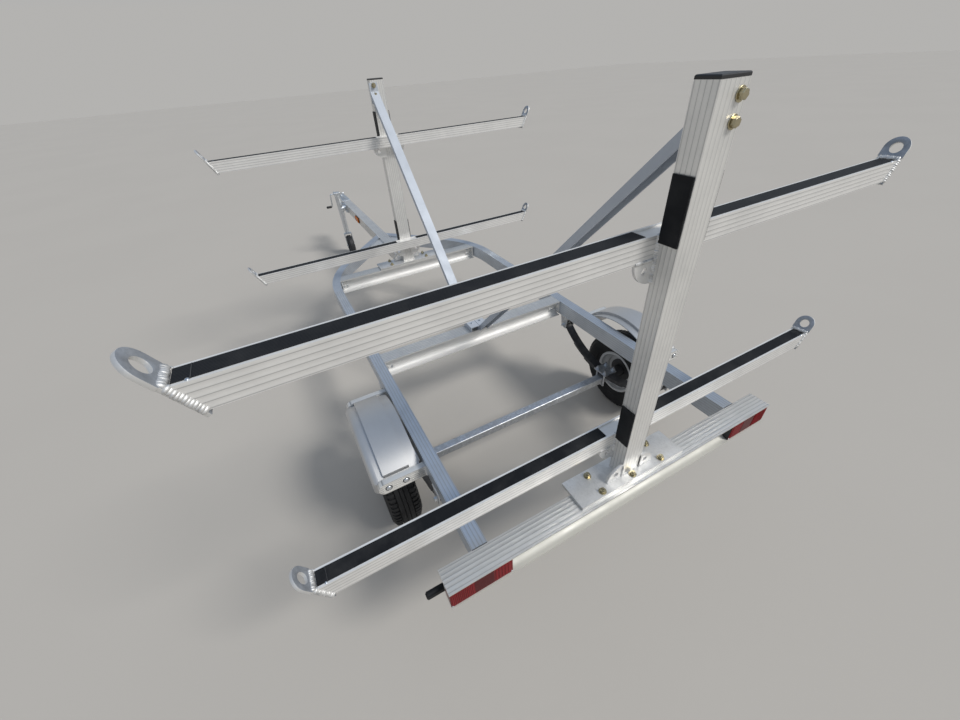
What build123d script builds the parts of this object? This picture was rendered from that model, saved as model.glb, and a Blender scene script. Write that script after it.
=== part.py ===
# Boat rack trailer: an aluminium ladder frame with a curved drawbar end, two T masts that carry
# four padded cross arms, a sprung axle with small wheels and a folding tongue jack.
# Units are millimetres. +X points forward to the coupler, +Y to the left, +Z up, z = 0 is the ground.
from build123d import *
import math
import os

os.makedirs("parts", exist_ok=True)

# Overall stations along X, measured forward from a datum just behind the rear mast's front face.
REAR_EDGE = -92.0
BALL_X = 4290.0
SOCKET_R = 38.0
MID_X = (REAR_EDGE + BALL_X + SOCKET_R) / 2


def st(x):
    """Station ahead of the rear mast, as an X in the part's own frame."""
    return x - MID_X


# Heights
TYRE_R = 215.0
FRAME_TOP = 510.0
RAIL_H = 76.2
AXLE_Z = TYRE_R

# Side rails
RAIL_W = 50.8
RAIL_Y = 537.0
RAIL_WALL = 4.0
BEND_START = 1870.0
BEND_R = 675.0
BEND_DEG = 41.0
RAIL_MID_Z = FRAME_TOP - RAIL_H / 2

# Cross members, I beams with fluted tops and deep round hollows down both sides
BEAM_W = 76.2
BEAM_H = 88.9
BEAM_MID_Z = FRAME_TOP - BEAM_H / 2
FLANGE_T = 5.5
WEB_T = 5.0
HOLLOW_H = BEAM_H - 2 * FLANGE_T
HOLLOW_R = 26.0
REAR_BEAM_X = REAR_EDGE + BEAM_W / 2
REAR_BEAM_HALF = 669.0
MIDDLE_BEAM_X = 1021.0
FRONT_BEAM_X = 2048.0
CLIP = 50.0
CLIP_T = 5.0
CLIP_H = 58.0
CLIP_LEG = (BEAM_W - WEB_T) / 2
RAIL_START = REAR_EDGE + BEAM_W

# Tongue and coupler
TONGUE_W = 76.2
TONGUE_END = 4070.0
COUPLER_BACK = 4000.0
BALL_R = 25.6

# Masts and their foot plates
MAST_D = 50.8
MAST_W = 76.2
MAST_WALL = 4.0
PLATE_T = 12.0
MAST_TOP = 1052.0
CAP_T = 7.0
PLATE_BACK = 79.0
PLATE_FRONT = 24.0
PLATE_HALF = 215.0
FIN_R = 57.0
FIN_T = 8.0
REAR_MAST_X = 2.0
FRONT_MAST_X = 2035.0

# Cross arms, heights are of the arm's top above the frame
ARM_D = 50.8
ARM_H = 55.0
ARM_WALL = 3.5
LIP_W = 6.0
LIP_H = 4.2
ARM_HALF = 942.0
ARM_LEAN = 27.0
UPPER_ARM = 786.0
LOWER_ARM = 169.0
EYE_W = 57.0
EYE_T = 8.0
EYE_HOLE_R = 15.0
EYE_ROUND_R = 31.0
EYE_NECK = 68.0
EYE_RISE = 94.0
STRIP_PROUD = 0.8
MAST_PAD_T = 4.0

# Flutes along every extrusion, shallow hollows with sharp ridges between them and flat margins
FLUTE_PITCH = 12.7
FLUTE_D = 0.65
FLUTE_MARGIN = 2.4

# Running gear
AXLE_X = 603.0
AXLE_SIZE = 40.0
AXLE_HALF = 560.0
SPINDLE_R = 12.5
WHEEL_Y = 663.0
TYRE_W = 130.0
SEAT_R = 108.0
# Tyre outline, one row per corner: distance outboard of the wheel's middle, radius
TYRE_SECTION = (
    (-43.7, 107.1), (-TYRE_W / 2, 174), (-55, TYRE_R), (55, TYRE_R), (TYRE_W / 2, 174), (43.7, 107.1),
)
DISC_T = 4.0
DISC_IN_R = 34.0
RIM_WELL_R = 85.0
# Rim barrel outline, one row per corner: distance outboard of the wheel's middle, radius
RIM_SECTION = (
    (-51, 118), (-48, 118), (-48, SEAT_R), (-30, 104), (-18, 88), (18, 88), (30, 104), (48, SEAT_R),
    (48, 118), (51, 118), (51, 105), (32, 101), (20, RIM_WELL_R), (-20, RIM_WELL_R), (-32, 101), (-51, 105),
)
SPRING_HALF = 329.0
SPRING_W = 45.0
LEAF_T = 7.0
LEAF_COUNT = 3
EYE_DROP = 49.0

# Fenders
FENDER_IN = 574.0
FENDER_OUT = 752.0
FENDER_R = 330.0
FENDER_T = 4.0
FENDER_LEN = 223.0
FENDER_SKIRT_Z = FRAME_TOP - 105.0
SHOULDER_R = 24.0
CROWN_RISE = 12.0

# Jack
JACK_X = 3880.0
JACK_Y = 98.0
JACK_PIVOT_Z = FRAME_TOP - 38.0
JACK_TUBE_R = 27.0
JACK_LEG_R = 23.9
JACK_WHEEL_R = 100.0
JACK_TRAIL = 40.0


def side_on(x, z, y=0.0):
    """Plane seen from the right side, with its origin on a point: local x is X, local y is Z."""
    return Plane((x, y, z), x_dir=(1, 0, 0), z_dir=(0, -1, 0))


def flutes(start, end):
    """Row of flutes from one point of an outline to the next, hollowed to the left of the way."""
    way = (Vector(*end) - Vector(*start)).normalized()
    first = Vector(*start) + way * FLUTE_MARGIN
    last = Vector(*end) - way * FLUTE_MARGIN
    count = round((last - first).length / FLUTE_PITCH)
    step = (last - first) * (1 / count)
    inward = Vector(-way.Y, way.X) * FLUTE_D
    Line(start, first)
    for row in range(count):
        ridge = first + step * row
        ThreePointArc(ridge, ridge + step * 0.5 + inward, ridge + step)
    Line(last, end)


def fluted_tube(width, height, wall):
    """Hollow rectangular extrusion section, fluted on all four sides."""
    side, top = width / 2, height / 2
    corners = ((-side, -top), (side, -top), (side, top), (-side, top))
    with BuildLine() as outline:
        for turn in range(4):
            flutes(corners[turn], corners[(turn + 1) % 4])
    make_face(outline.edges())
    Rectangle(width - 2 * wall, height - 2 * wall, mode=Mode.SUBTRACT)


def beam_section():
    """I section: flutes across the top, round hollows from flange to flange on both sides."""
    side, top = BEAM_W / 2, BEAM_H / 2
    edge = 2.5 * FLUTE_PITCH + FLUTE_MARGIN
    with BuildLine() as outline:
        flutes((edge, top), (-edge, top))
        Polyline((-edge, top), (-side, top), (-side, -top), (side, -top), (side, top), (edge, top))
    make_face(outline.edges())
    with Locations((-side, 0), (side, 0)):
        RectangleRounded(BEAM_W - WEB_T, HOLLOW_H, HOLLOW_R, mode=Mode.SUBTRACT)


def arm_section():
    """Square tube fluted below and on its sides, with two lips on top that hold a rubber strip."""
    side, low, top = ARM_D / 2, -ARM_H / 2, ARM_H / 2
    floor = top - LIP_H
    with BuildLine() as outline:
        flutes((-side, low), (side, low))
        flutes((side, low), (side, floor))
        Polyline(
            (side, floor), (side, top), (side - LIP_W, top), (side - LIP_W, floor),
            (LIP_W - side, floor), (LIP_W - side, top), (-side, top), (-side, floor),
        )
        flutes((-side, floor), (-side, low))
    make_face(outline.edges())
    with Locations((0, (low + floor) / 2)):
        Rectangle(ARM_D - 2 * ARM_WALL, floor - low - 2 * ARM_WALL, mode=Mode.SUBTRACT)


# Side rails: straight, then bent inward to meet the tongue
bend = math.radians(BEND_DEG)
bend_x = BEND_START + BEND_R * math.sin(bend)
bend_y = RAIL_Y - BEND_R * (1 - math.cos(bend))
run_on = (bend_y - TONGUE_W / 2) / math.sin(bend) + 60
for side, hand in (("left", 1), ("right", -1)):
    with BuildPart() as rail:
        with BuildLine() as rail_path:
            Line((st(RAIL_START), hand * RAIL_Y, RAIL_MID_Z), (st(BEND_START), hand * RAIL_Y, RAIL_MID_Z))
            JernArc((st(BEND_START), hand * RAIL_Y, RAIL_MID_Z), (1, 0, 0), BEND_R, -hand * BEND_DEG)
            Line(
                (st(bend_x), hand * bend_y, RAIL_MID_Z),
                (
                    st(bend_x + run_on * math.cos(bend)),
                    hand * (bend_y - run_on * math.sin(bend)),
                    RAIL_MID_Z,
                ),
            )
        start = Plane((st(RAIL_START), hand * RAIL_Y, RAIL_MID_Z), x_dir=(0, 1, 0), z_dir=(1, 0, 0))
        with BuildSketch(start):
            fluted_tube(RAIL_W, RAIL_H, RAIL_WALL)
        sweep(path=rail_path.wires()[0])
        tongue_side = Plane((0, hand * TONGUE_W / 2, 0), x_dir=(1, 0, 0), z_dir=(0, hand, 0))
        split(bisect_by=tongue_side, keep=Keep.TOP)
    rail.part.label = "rail_" + side
    export_step(rail.part, f"parts/rail_{side}.step")

# Rear cross member, wide enough to carry the lamps in its open rear side
with BuildPart() as crossmember_rear:
    with BuildSketch(side_on(st(REAR_BEAM_X), BEAM_MID_Z)):
        beam_section()
    extrude(amount=REAR_BEAM_HALF, both=True)
    with BuildSketch(Plane.YZ.offset(st(REAR_BEAM_X))):
        with Locations((-453, BEAM_MID_Z), (453, BEAM_MID_Z)):
            SlotOverall(28, 15)
    extrude(amount=WEB_T, both=True, mode=Mode.SUBTRACT)
crossmember_rear.part.label = "crossmember_rear"
export_step(crossmember_rear.part, "parts/crossmember_rear.step")


def beam_clips(beam_x, reach):
    """Angle clips that hold a cross member's web to the rails."""
    for hand in (-1, 1):
        with Locations((st(beam_x) - WEB_T / 2 - CLIP_T / 2, hand * (reach - CLIP / 2), RAIL_MID_Z)):
            Box(CLIP_T, CLIP, CLIP_H)
        with Locations((st(beam_x) - (WEB_T + CLIP_LEG) / 2, hand * (reach - CLIP_T / 2), RAIL_MID_Z)):
            Box(CLIP_LEG, CLIP_T, CLIP_H)


# Middle cross member, square between the straight rails
rail_inner = RAIL_Y - RAIL_W / 2
with BuildPart() as crossmember_middle:
    with BuildSketch(side_on(st(MIDDLE_BEAM_X), BEAM_MID_Z)):
        beam_section()
    extrude(amount=rail_inner, both=True)
    beam_clips(MIDDLE_BEAM_X, rail_inner)
crossmember_middle.part.label = "crossmember_middle"
export_step(crossmember_middle.part, "parts/crossmember_middle.step")

# Front cross member, its ends coped to the inside of the bends
bend_inner_r = BEND_R - RAIL_W / 2
bend_centre_y = RAIL_Y - BEND_R
clip_x = FRONT_BEAM_X - (WEB_T + CLIP_LEG) / 2
clip_reach = bend_centre_y + math.sqrt(bend_inner_r**2 - (clip_x - BEND_START) ** 2)
with BuildPart() as crossmember_front:
    with BuildSketch(side_on(st(FRONT_BEAM_X), BEAM_MID_Z)):
        beam_section()
    extrude(amount=rail_inner, both=True)
    beam_clips(FRONT_BEAM_X, clip_reach)
    with BuildSketch(Plane.XY.offset(FRAME_TOP - BEAM_H)):
        with Locations((st(BEND_START), bend_centre_y)):
            Circle(bend_inner_r)
        with Locations((st(BEND_START), -bend_centre_y)):
            Circle(bend_inner_r, mode=Mode.INTERSECT)
    extrude(amount=BEAM_H, mode=Mode.INTERSECT)
crossmember_front.part.label = "crossmember_front"
export_step(crossmember_front.part, "parts/crossmember_front.step")

# Tongue, from the front cross member out to the coupler
tongue_back = FRONT_BEAM_X + BEAM_W / 2
with BuildPart() as tongue:
    tongue_plane = Plane((st(tongue_back), 0, RAIL_MID_Z), x_dir=(0, 1, 0), z_dir=(1, 0, 0))
    with BuildSketch(tongue_plane):
        fluted_tube(TONGUE_W, RAIL_H, RAIL_WALL)
    extrude(amount=TONGUE_END - tongue_back)
tongue.part.label = "tongue"
export_step(tongue.part, "parts/tongue.step")

# Flat gussets in the crotch between each rail and the tongue
GUSSET_LEG = 120.0
GUSSET_T = 8.0
inner_y = bend_y - (RAIL_W / 2) / math.cos(bend)
crotch_x = bend_x + (inner_y - TONGUE_W / 2) / math.tan(bend)
with BuildPart() as tongue_gussets:
    with BuildSketch(Plane.XY.offset(FRAME_TOP - 20)):
        for hand in (-1, 1):
            with BuildLine():
                Polyline(
                    (st(crotch_x), hand * TONGUE_W / 2),
                    (st(crotch_x - GUSSET_LEG), hand * TONGUE_W / 2),
                    (st(crotch_x - GUSSET_LEG), hand * (TONGUE_W / 2 + GUSSET_LEG * math.tan(bend))),
                    close=True,
                )
            make_face()
    extrude(amount=GUSSET_T)
tongue_gussets.part.label = "tongue_gussets"
export_step(tongue_gussets.part, "parts/tongue_gussets.step")


def quarter_fin(corner_y, corner_z, hand, drop):
    """Round-edged gusset with a lightening hole in the corner of a mast and what it meets."""
    with Locations((corner_y, corner_z)):
        Circle(FIN_R)
        with Locations((-hand * FIN_R, 0)):
            Rectangle(2 * FIN_R, 4 * FIN_R, mode=Mode.SUBTRACT)
        with Locations((0, drop * FIN_R)):
            Rectangle(4 * FIN_R, 2 * FIN_R, mode=Mode.SUBTRACT)
        with Locations((hand * 24, -drop * 23)):
            Circle(9, mode=Mode.SUBTRACT)


# Two masts on foot plates, the front one the rear one turned about
plate_top = FRAME_TOP + PLATE_T
for end, face_x, ahead in (("rear", REAR_MAST_X, 1), ("front", FRONT_MAST_X, -1)):
    mast_x = face_x - ahead * MAST_D / 2
    plate_x = face_x + ahead * (PLATE_FRONT - PLATE_BACK) / 2
    fin_x = face_x - ahead * (MAST_D - FIN_T / 2)
    with BuildPart() as base_plate:
        with Locations((st(plate_x), 0, FRAME_TOP + PLATE_T / 2)):
            Box(PLATE_FRONT + PLATE_BACK, 2 * PLATE_HALF, PLATE_T)
        for hand in (-1, 1):
            with BuildSketch(Plane.YZ.offset(st(fin_x))):
                quarter_fin(hand * MAST_W / 2, plate_top, hand, -1)
            extrude(amount=FIN_T / 2, both=True)
    base_plate.part.label = "base_plate_" + end
    export_step(base_plate.part, f"parts/base_plate_{end}.step")

    with BuildPart() as mast:
        with BuildSketch(Plane((st(mast_x), 0, plate_top))):
            fluted_tube(MAST_D, MAST_W, MAST_WALL)
        extrude(amount=MAST_TOP - PLATE_T)
    mast.part.label = "mast_" + end
    export_step(mast.part, f"parts/mast_{end}.step")

# Plastic caps on the mast tops
with BuildPart() as mast_caps:
    for face_x, ahead in ((REAR_MAST_X, 1), (FRONT_MAST_X, -1)):
        with Locations((st(face_x - ahead * MAST_D / 2), 0, FRAME_TOP + MAST_TOP + CAP_T / 2)):
            Box(MAST_D, MAST_W, CAP_T)
    fillet(mast_caps.edges().group_by(Axis.Z)[-1], 3)
mast_caps.part.label = "mast_caps"
export_step(mast_caps.part, "parts/mast_caps.step")

# Four cross arms, each one length across the inner face of its mast
lean = math.atan2(ARM_LEAN, ARM_H)
arm_table = (
    # name, face of the mast, direction the arm stands off it, top height
    ("arm_rear_upper", REAR_MAST_X, 1, UPPER_ARM),
    ("arm_rear_lower", REAR_MAST_X, 1, LOWER_ARM),
    ("arm_front_upper", FRONT_MAST_X, -1, UPPER_ARM),
    ("arm_front_lower", FRONT_MAST_X, -1, LOWER_ARM),
)


def arm_end(arm_x, top, hand):
    """Plane of an arm's slanted end, facing outward, with its origin at the arm's lower edge."""
    foot = (st(arm_x), hand * (ARM_HALF - ARM_LEAN), FRAME_TOP + top - ARM_H)
    outward = (0, hand * math.cos(lean), -math.sin(lean))
    return Plane(foot, x_dir=(-hand, 0, 0), z_dir=outward)


for name, face_x, ahead, top in arm_table:
    arm_x = face_x + ahead * ARM_D / 2
    with BuildPart() as arm:
        with BuildSketch(side_on(st(arm_x), FRAME_TOP + top - ARM_H / 2)):
            arm_section()
        extrude(amount=ARM_HALF, both=True)
        for hand in (-1, 1):
            split(bisect_by=arm_end(arm_x, top, hand), keep=Keep.BOTTOM)
        for hand in (-1, 1):
            with BuildSketch(Plane.YZ.offset(st(face_x + ahead * FIN_T / 2))):
                quarter_fin(hand * MAST_W / 2, FRAME_TOP + top - ARM_H, hand, 1)
                with Locations((hand * (MAST_W / 2 - 8), FRAME_TOP + top - ARM_H - FIN_R / 2)):
                    Rectangle(16, FIN_R)
                with Locations((hand * (MAST_W + FIN_R) / 2, FRAME_TOP + top - ARM_H + ARM_WALL / 4)):
                    Rectangle(FIN_R, ARM_WALL / 2)
            extrude(amount=FIN_T / 2, both=True)
    arm.part.label = name
    export_step(arm.part, f"parts/{name}.step")

# Tie-down eyes welded over the arm ends
with BuildPart() as arm_eyes:
    for name, face_x, ahead, top in arm_table:
        for hand in (-1, 1):
            with BuildSketch(arm_end(face_x + ahead * ARM_D / 2, top, hand)):
                with Locations((0, EYE_NECK / 2 - 4)):
                    Rectangle(EYE_W, EYE_NECK + 8)
                with Locations((0, (EYE_NECK + EYE_RISE) / 2)):
                    Rectangle(2 * EYE_ROUND_R, EYE_RISE - EYE_NECK)
                with Locations((0, EYE_RISE)):
                    Circle(EYE_ROUND_R)
                    Circle(EYE_HOLE_R, mode=Mode.SUBTRACT)
            extrude(amount=EYE_T)
arm_eyes.part.label = "arm_eyes"
export_step(arm_eyes.part, "parts/arm_eyes.step")

# Rubber strips between the lips on the arm tops, stopping short of the masts
PAD_IN = 72.0
PAD_OUT = 936.0
STRIP_T = LIP_H + STRIP_PROUD
with BuildPart() as arm_pads:
    for name, face_x, ahead, top in arm_table:
        for hand in (-1, 1):
            spot = (
                st(face_x + ahead * ARM_D / 2),
                hand * (PAD_IN + PAD_OUT) / 2,
                FRAME_TOP + top + STRIP_PROUD - STRIP_T / 2,
            )
            with Locations(spot):
                Box(ARM_D - 2 * LIP_W, PAD_OUT - PAD_IN, STRIP_T)
arm_pads.part.label = "arm_pads"
export_step(arm_pads.part, "parts/arm_pads.step")

# Rubber pads on the mast sides above each arm
MAST_PAD_LEN = 136.0
with BuildPart() as mast_pads:
    for face_x, ahead in ((REAR_MAST_X, 1), (FRONT_MAST_X, -1)):
        for top in (UPPER_ARM, LOWER_ARM):
            for hand in (-1, 1):
                spot = (
                    st(face_x - ahead * MAST_D / 2),
                    hand * (MAST_W + MAST_PAD_T) / 2,
                    FRAME_TOP + top - 16 + MAST_PAD_LEN / 2,
                )
                with Locations(spot):
                    Box(MAST_D - 4, MAST_PAD_T, MAST_PAD_LEN)
mast_pads.part.label = "mast_pads"
export_step(mast_pads.part, "parts/mast_pads.step")

# Channel braces from each mast's top, kinked to lie flat across the middle cross member
BRACE_W = 46.0
BRACE_DEPTH = 25.0
BRACE_WALL = 4.0
BRACE_TOP = 1040.0
BRACE_TAB = 95.0
BRACE_SLOPE_TOP = 1006.0
for end, face_x, ahead, off_y in (("rear", REAR_MAST_X, 1, -24.0), ("front", FRONT_MAST_X, -1, 24.0)):
    kink_x = MIDDLE_BEAM_X - ahead * BEAM_W / 2
    top_spot = Vector(st(face_x), off_y, FRAME_TOP + BRACE_SLOPE_TOP)
    kink_spot = Vector(st(kink_x), off_y, FRAME_TOP + BRACE_DEPTH)
    run = kink_spot - top_spot
    reach = 40
    along = run.normalized()
    with BuildPart() as brace:
        with BuildSketch(Plane(top_spot - along * reach, x_dir=(0, 1, 0), z_dir=along)):
            with Locations((0, -ahead * BRACE_DEPTH / 2)):
                Rectangle(BRACE_W, BRACE_DEPTH)
            with Locations((0, -ahead * (BRACE_DEPTH / 2 + BRACE_WALL))):
                Rectangle(BRACE_W - 2 * BRACE_WALL, BRACE_DEPTH, mode=Mode.SUBTRACT)
        extrude(amount=run.length + 2 * reach)
        for cut_x, facing in ((kink_x, -ahead), (face_x, ahead)):
            split(bisect_by=Plane((st(cut_x), 0, 0), x_dir=(0, 1, 0), z_dir=(facing, 0, 0)), keep=Keep.TOP)
        with Locations((st(face_x + ahead * 3), off_y, FRAME_TOP + BRACE_TOP - BRACE_TAB / 2)):
            Box(6, BRACE_W, BRACE_TAB)
        with BuildSketch(Plane.YZ.offset(st(kink_x))):
            with Locations((off_y, FRAME_TOP + BRACE_DEPTH / 2)):
                Rectangle(BRACE_W, BRACE_DEPTH)
            with Locations((off_y, FRAME_TOP + BRACE_DEPTH / 2 - BRACE_WALL)):
                Rectangle(BRACE_W - 2 * BRACE_WALL, BRACE_DEPTH, mode=Mode.SUBTRACT)
        extrude(amount=ahead * BEAM_W)
    brace.part.label = "brace_" + end
    export_step(brace.part, f"parts/brace_{end}.step")

# Axle: square tube with a turned spindle at each end
with BuildPart() as axle:
    with BuildSketch(side_on(st(AXLE_X), AXLE_Z)):
        RectangleRounded(AXLE_SIZE, AXLE_SIZE, 5)
    extrude(amount=AXLE_HALF, both=True)
    with BuildSketch(side_on(st(AXLE_X), AXLE_Z)):
        Circle(SPINDLE_R)
    extrude(amount=WHEEL_Y + 24, both=True)
axle.part.label = "axle"
export_step(axle.part, "parts/axle.step")

# Leaf springs under the rails, the shorter leaves below
pack_bottom = AXLE_Z + AXLE_SIZE / 2
main_low = pack_bottom + (LEAF_COUNT - 1) * LEAF_T
eye_z = FRAME_TOP - RAIL_H - EYE_DROP
SPRING_EYE_R = 14.0
sag = eye_z - main_low
leaf_r = (SPRING_HALF**2 + sag**2) / (2 * sag)
for side, hand in (("left", 1), ("right", -1)):
    with BuildPart() as spring:
        with BuildSketch(Plane.XZ.offset(-hand * RAIL_Y)):
            for leaf in range(LEAF_COUNT):
                top_r = leaf_r + leaf * LEAF_T
                half = SPRING_HALF * (1 - 0.28 * leaf)
                swing = math.degrees(math.asin(half / top_r))
                with BuildLine():
                    centre = (st(AXLE_X), main_low + leaf_r)
                    inner = CenterArc(centre, top_r - LEAF_T, 270 - swing, 2 * swing)
                    outer = CenterArc(centre, top_r, 270 - swing, 2 * swing)
                    Line(inner @ 0, outer @ 0)
                    Line(inner @ 1, outer @ 1)
                make_face()
            with Locations((st(AXLE_X - SPRING_HALF), eye_z), (st(AXLE_X + SPRING_HALF), eye_z)):
                Circle(SPRING_EYE_R)
        extrude(amount=SPRING_W / 2, both=True)
    spring.part.label = "spring_" + side
    export_step(spring.part, f"parts/spring_{side}.step")

# Spring hangers: folded brackets welded under the rails
HANGER_T = 5.0
HANGER_LEN = 56.0
hanger_top = FRAME_TOP - RAIL_H
with BuildPart() as spring_hangers:
    for hand in (-1, 1):
        for hanger_x in (AXLE_X - SPRING_HALF, AXLE_X + SPRING_HALF):
            with Locations((st(hanger_x), hand * RAIL_Y, hanger_top - HANGER_T / 2)):
                Box(HANGER_LEN, SPRING_W + 2 * HANGER_T, HANGER_T)
            for edge in (-1, 1):
                y = hand * RAIL_Y + edge * (SPRING_W + HANGER_T) / 2
                with BuildSketch(Plane.XZ.offset(-y)):
                    with BuildLine():
                        Polyline(
                            (st(hanger_x - HANGER_LEN / 2), hanger_top),
                            (st(hanger_x + HANGER_LEN / 2), hanger_top),
                            (st(hanger_x + 18), eye_z - 18),
                            (st(hanger_x - 18), eye_z - 18),
                            close=True,
                        )
                    make_face()
                extrude(amount=HANGER_T / 2, both=True)
spring_hangers.part.label = "spring_hangers"
export_step(spring_hangers.part, "parts/spring_hangers.step")

# Axle clamps: a tie plate over each spring and two square U bolts round the axle
U_BOLT_R = 5.0
SEAT_T = 3.0
seat_low = main_low + LEAF_T + 0.3
tie_low = seat_low + SEAT_T
with BuildPart() as spring_clamps:
    for hand in (-1, 1):
        with Locations((st(AXLE_X), hand * RAIL_Y, tie_low + 4)):
            Box(84, SPRING_W + 30, 8)
        for edge in (-1, 1):
            y = hand * RAIL_Y + edge * (SPRING_W / 2 + U_BOLT_R + 1)
            for step in (-1, 1):
                leg_low = AXLE_Z - AXLE_SIZE / 2 - 2 * U_BOLT_R
                with BuildSketch(Plane.XY.offset(leg_low)):
                    with Locations((st(AXLE_X) + step * (AXLE_SIZE / 2 + U_BOLT_R + 1), y)):
                        Circle(U_BOLT_R)
                extrude(amount=tie_low + 26 - leg_low)
            with Locations((st(AXLE_X), y, AXLE_Z - AXLE_SIZE / 2 - U_BOLT_R)):
                Box(AXLE_SIZE + 2 * U_BOLT_R + 2, 2 * U_BOLT_R, 2 * U_BOLT_R)
        with Locations((st(AXLE_X), hand * RAIL_Y, seat_low + SEAT_T / 2)):
            Box(30, SPRING_W - 6, SEAT_T)
spring_clamps.part.label = "spring_clamps"
export_step(spring_clamps.part, "parts/spring_clamps.step")

# Wheels: hub, steel rim and tyre, turned about the spindle
HUB_IN = AXLE_HALF + 16
HUB_FACE = WHEEL_Y - 6
for side, hand in (("left", 1), ("right", -1)):
    wheel_plane = Plane((st(AXLE_X), 0, AXLE_Z), x_dir=(0, hand, 0), z_dir=(1, 0, 0))
    spin = Axis((st(AXLE_X), 0, AXLE_Z), (0, hand, 0))
    with BuildPart() as hub:
        with BuildSketch(wheel_plane):
            with BuildLine():
                Polyline(
                    (HUB_IN, SPINDLE_R + 0.06),
                    (HUB_IN, 27),
                    (HUB_FACE - 8, 33),
                    (HUB_FACE - 8, 62),
                    (HUB_FACE, 62),
                    (HUB_FACE, 30),
                    (HUB_FACE + 44, 26),
                    (HUB_FACE + 50, 18),
                    (HUB_FACE + 50, 0),
                    (WHEEL_Y + 28, 0),
                    (WHEEL_Y + 28, SPINDLE_R + 0.06),
                    close=True,
                )
            make_face()
        revolve(axis=spin)
    hub.part.label = "hub_" + side
    export_step(hub.part, f"parts/hub_{side}.step")

    with BuildPart() as rim:
        with BuildSketch(wheel_plane):
            with BuildLine():
                Polyline(*[(y + WHEEL_Y, r) for y, r in RIM_SECTION], close=True)
            make_face()
            with Locations((HUB_FACE + DISC_T / 2, (DISC_IN_R + RIM_WELL_R) / 2 + 1)):
                Rectangle(DISC_T, RIM_WELL_R - DISC_IN_R + 2)
        revolve(axis=spin)
    rim.part.label = "rim_" + side
    export_step(rim.part, f"parts/rim_{side}.step")

    with BuildPart() as tyre:
        with BuildSketch(wheel_plane):
            with BuildLine():
                Polyline(*[(y + WHEEL_Y, r) for y, r in TYRE_SECTION], close=True)
            make_face()
        revolve(axis=spin)
    tyre.part.label = "tyre_" + side
    export_step(tyre.part, f"parts/tyre_{side}.step")

# Moulded fenders with a raised crown, open below and on the frame side


def fender_outline(radius, half, low):
    """Closed side outline of a fender: a round top between two upright end walls."""
    swing = math.degrees(math.asin(half / radius))
    with BuildLine() as outline:
        top = CenterArc((st(AXLE_X), AXLE_Z), radius, 90 - swing, 2 * swing)
        Polyline(top @ 1, (st(AXLE_X) - half, low), (st(AXLE_X) + half, low), top @ 0)
    make_face(outline.edges())


crown_low = AXLE_Z + math.sqrt(FENDER_R**2 - FENDER_LEN**2)
for side, hand in (("left", 1), ("right", -1)):
    crown_in = hand * (FENDER_IN + 38)
    crown_out = hand * (FENDER_OUT - 44)
    with BuildPart() as hollow:
        with BuildSketch(side_on(0, 0, hand * (FENDER_IN - 20))):
            fender_outline(FENDER_R - FENDER_T, FENDER_LEN - FENDER_T, FENDER_SKIRT_Z - 10)
        extrude(amount=-hand * (FENDER_OUT - FENDER_T - FENDER_IN + 20))
        outer_face = hollow.faces().sort_by(Axis.Y)[-1 if hand > 0 else 0]
        fillet(outer_face.edges().sort_by(Axis.Z)[1:], SHOULDER_R - FENDER_T)
    with BuildPart() as fender:
        with BuildSketch(side_on(0, 0, hand * FENDER_IN)):
            fender_outline(FENDER_R, FENDER_LEN, FENDER_SKIRT_Z)
        extrude(amount=-hand * (FENDER_OUT - FENDER_IN))
        outer_face = fender.faces().sort_by(Axis.Y)[-1 if hand > 0 else 0]
        fillet(outer_face.edges().sort_by(Axis.Z)[1:], SHOULDER_R)
        with BuildSketch(side_on(0, 0, crown_in)):
            fender_outline(FENDER_R + CROWN_RISE, FENDER_LEN - 8, crown_low)
        extrude(amount=crown_in - crown_out)
        add(hollow.part, mode=Mode.SUBTRACT)
        with BuildSketch(side_on(0, 0, crown_in + hand * FENDER_T)):
            fender_outline(FENDER_R + CROWN_RISE - FENDER_T, FENDER_LEN - 12, FENDER_SKIRT_Z - 10)
        extrude(amount=crown_in - crown_out + 2 * hand * FENDER_T, mode=Mode.SUBTRACT)
        with BuildSketch(side_on(0, 0, hand * (FENDER_OUT - 30))):
            fender_outline(FENDER_R - 36, FENDER_LEN - 30, FENDER_SKIRT_Z - 10)
        extrude(amount=-hand * 60, mode=Mode.SUBTRACT)
    fender.part.label = "fender_" + side
    export_step(fender.part, f"parts/fender_{side}.step")

# Fender brackets: grooved bars with round outer ends, from the rails to the fender walls
GROOVE_W = 3.0
GROOVE_D = 1.2
BRACKET_H = 52.0
BRACKET_T = 24.0
BRACKET_Z = FRAME_TOP - 63.0
BRACKET_OUT = 738.0
rail_outer = RAIL_Y + RAIL_W / 2
bracket_run = BRACKET_OUT - BRACKET_H / 2 - rail_outer
with BuildPart() as fender_brackets:
    for ahead in (-1, 1):
        face = st(AXLE_X + ahead * FENDER_LEN)
        for hand in (-1, 1):
            with BuildSketch(Plane.YZ.offset(face)):
                with Locations((hand * (rail_outer + bracket_run / 2), BRACKET_Z)):
                    Rectangle(bracket_run, BRACKET_H)
                with Locations((hand * (BRACKET_OUT - BRACKET_H / 2), BRACKET_Z)):
                    Circle(BRACKET_H / 2)
            extrude(amount=ahead * BRACKET_T)
            with Locations((face + ahead * BRACKET_T, hand * (rail_outer + bracket_run / 2), BRACKET_Z)):
                with Locations((0, 0, -15), (0, 0, -5), (0, 0, 5), (0, 0, 15)):
                    Box(2 * GROOVE_D, bracket_run + 20, GROOVE_W, mode=Mode.SUBTRACT)
fender_brackets.part.label = "fender_brackets"
export_step(fender_brackets.part, "parts/fender_brackets.step")

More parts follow.
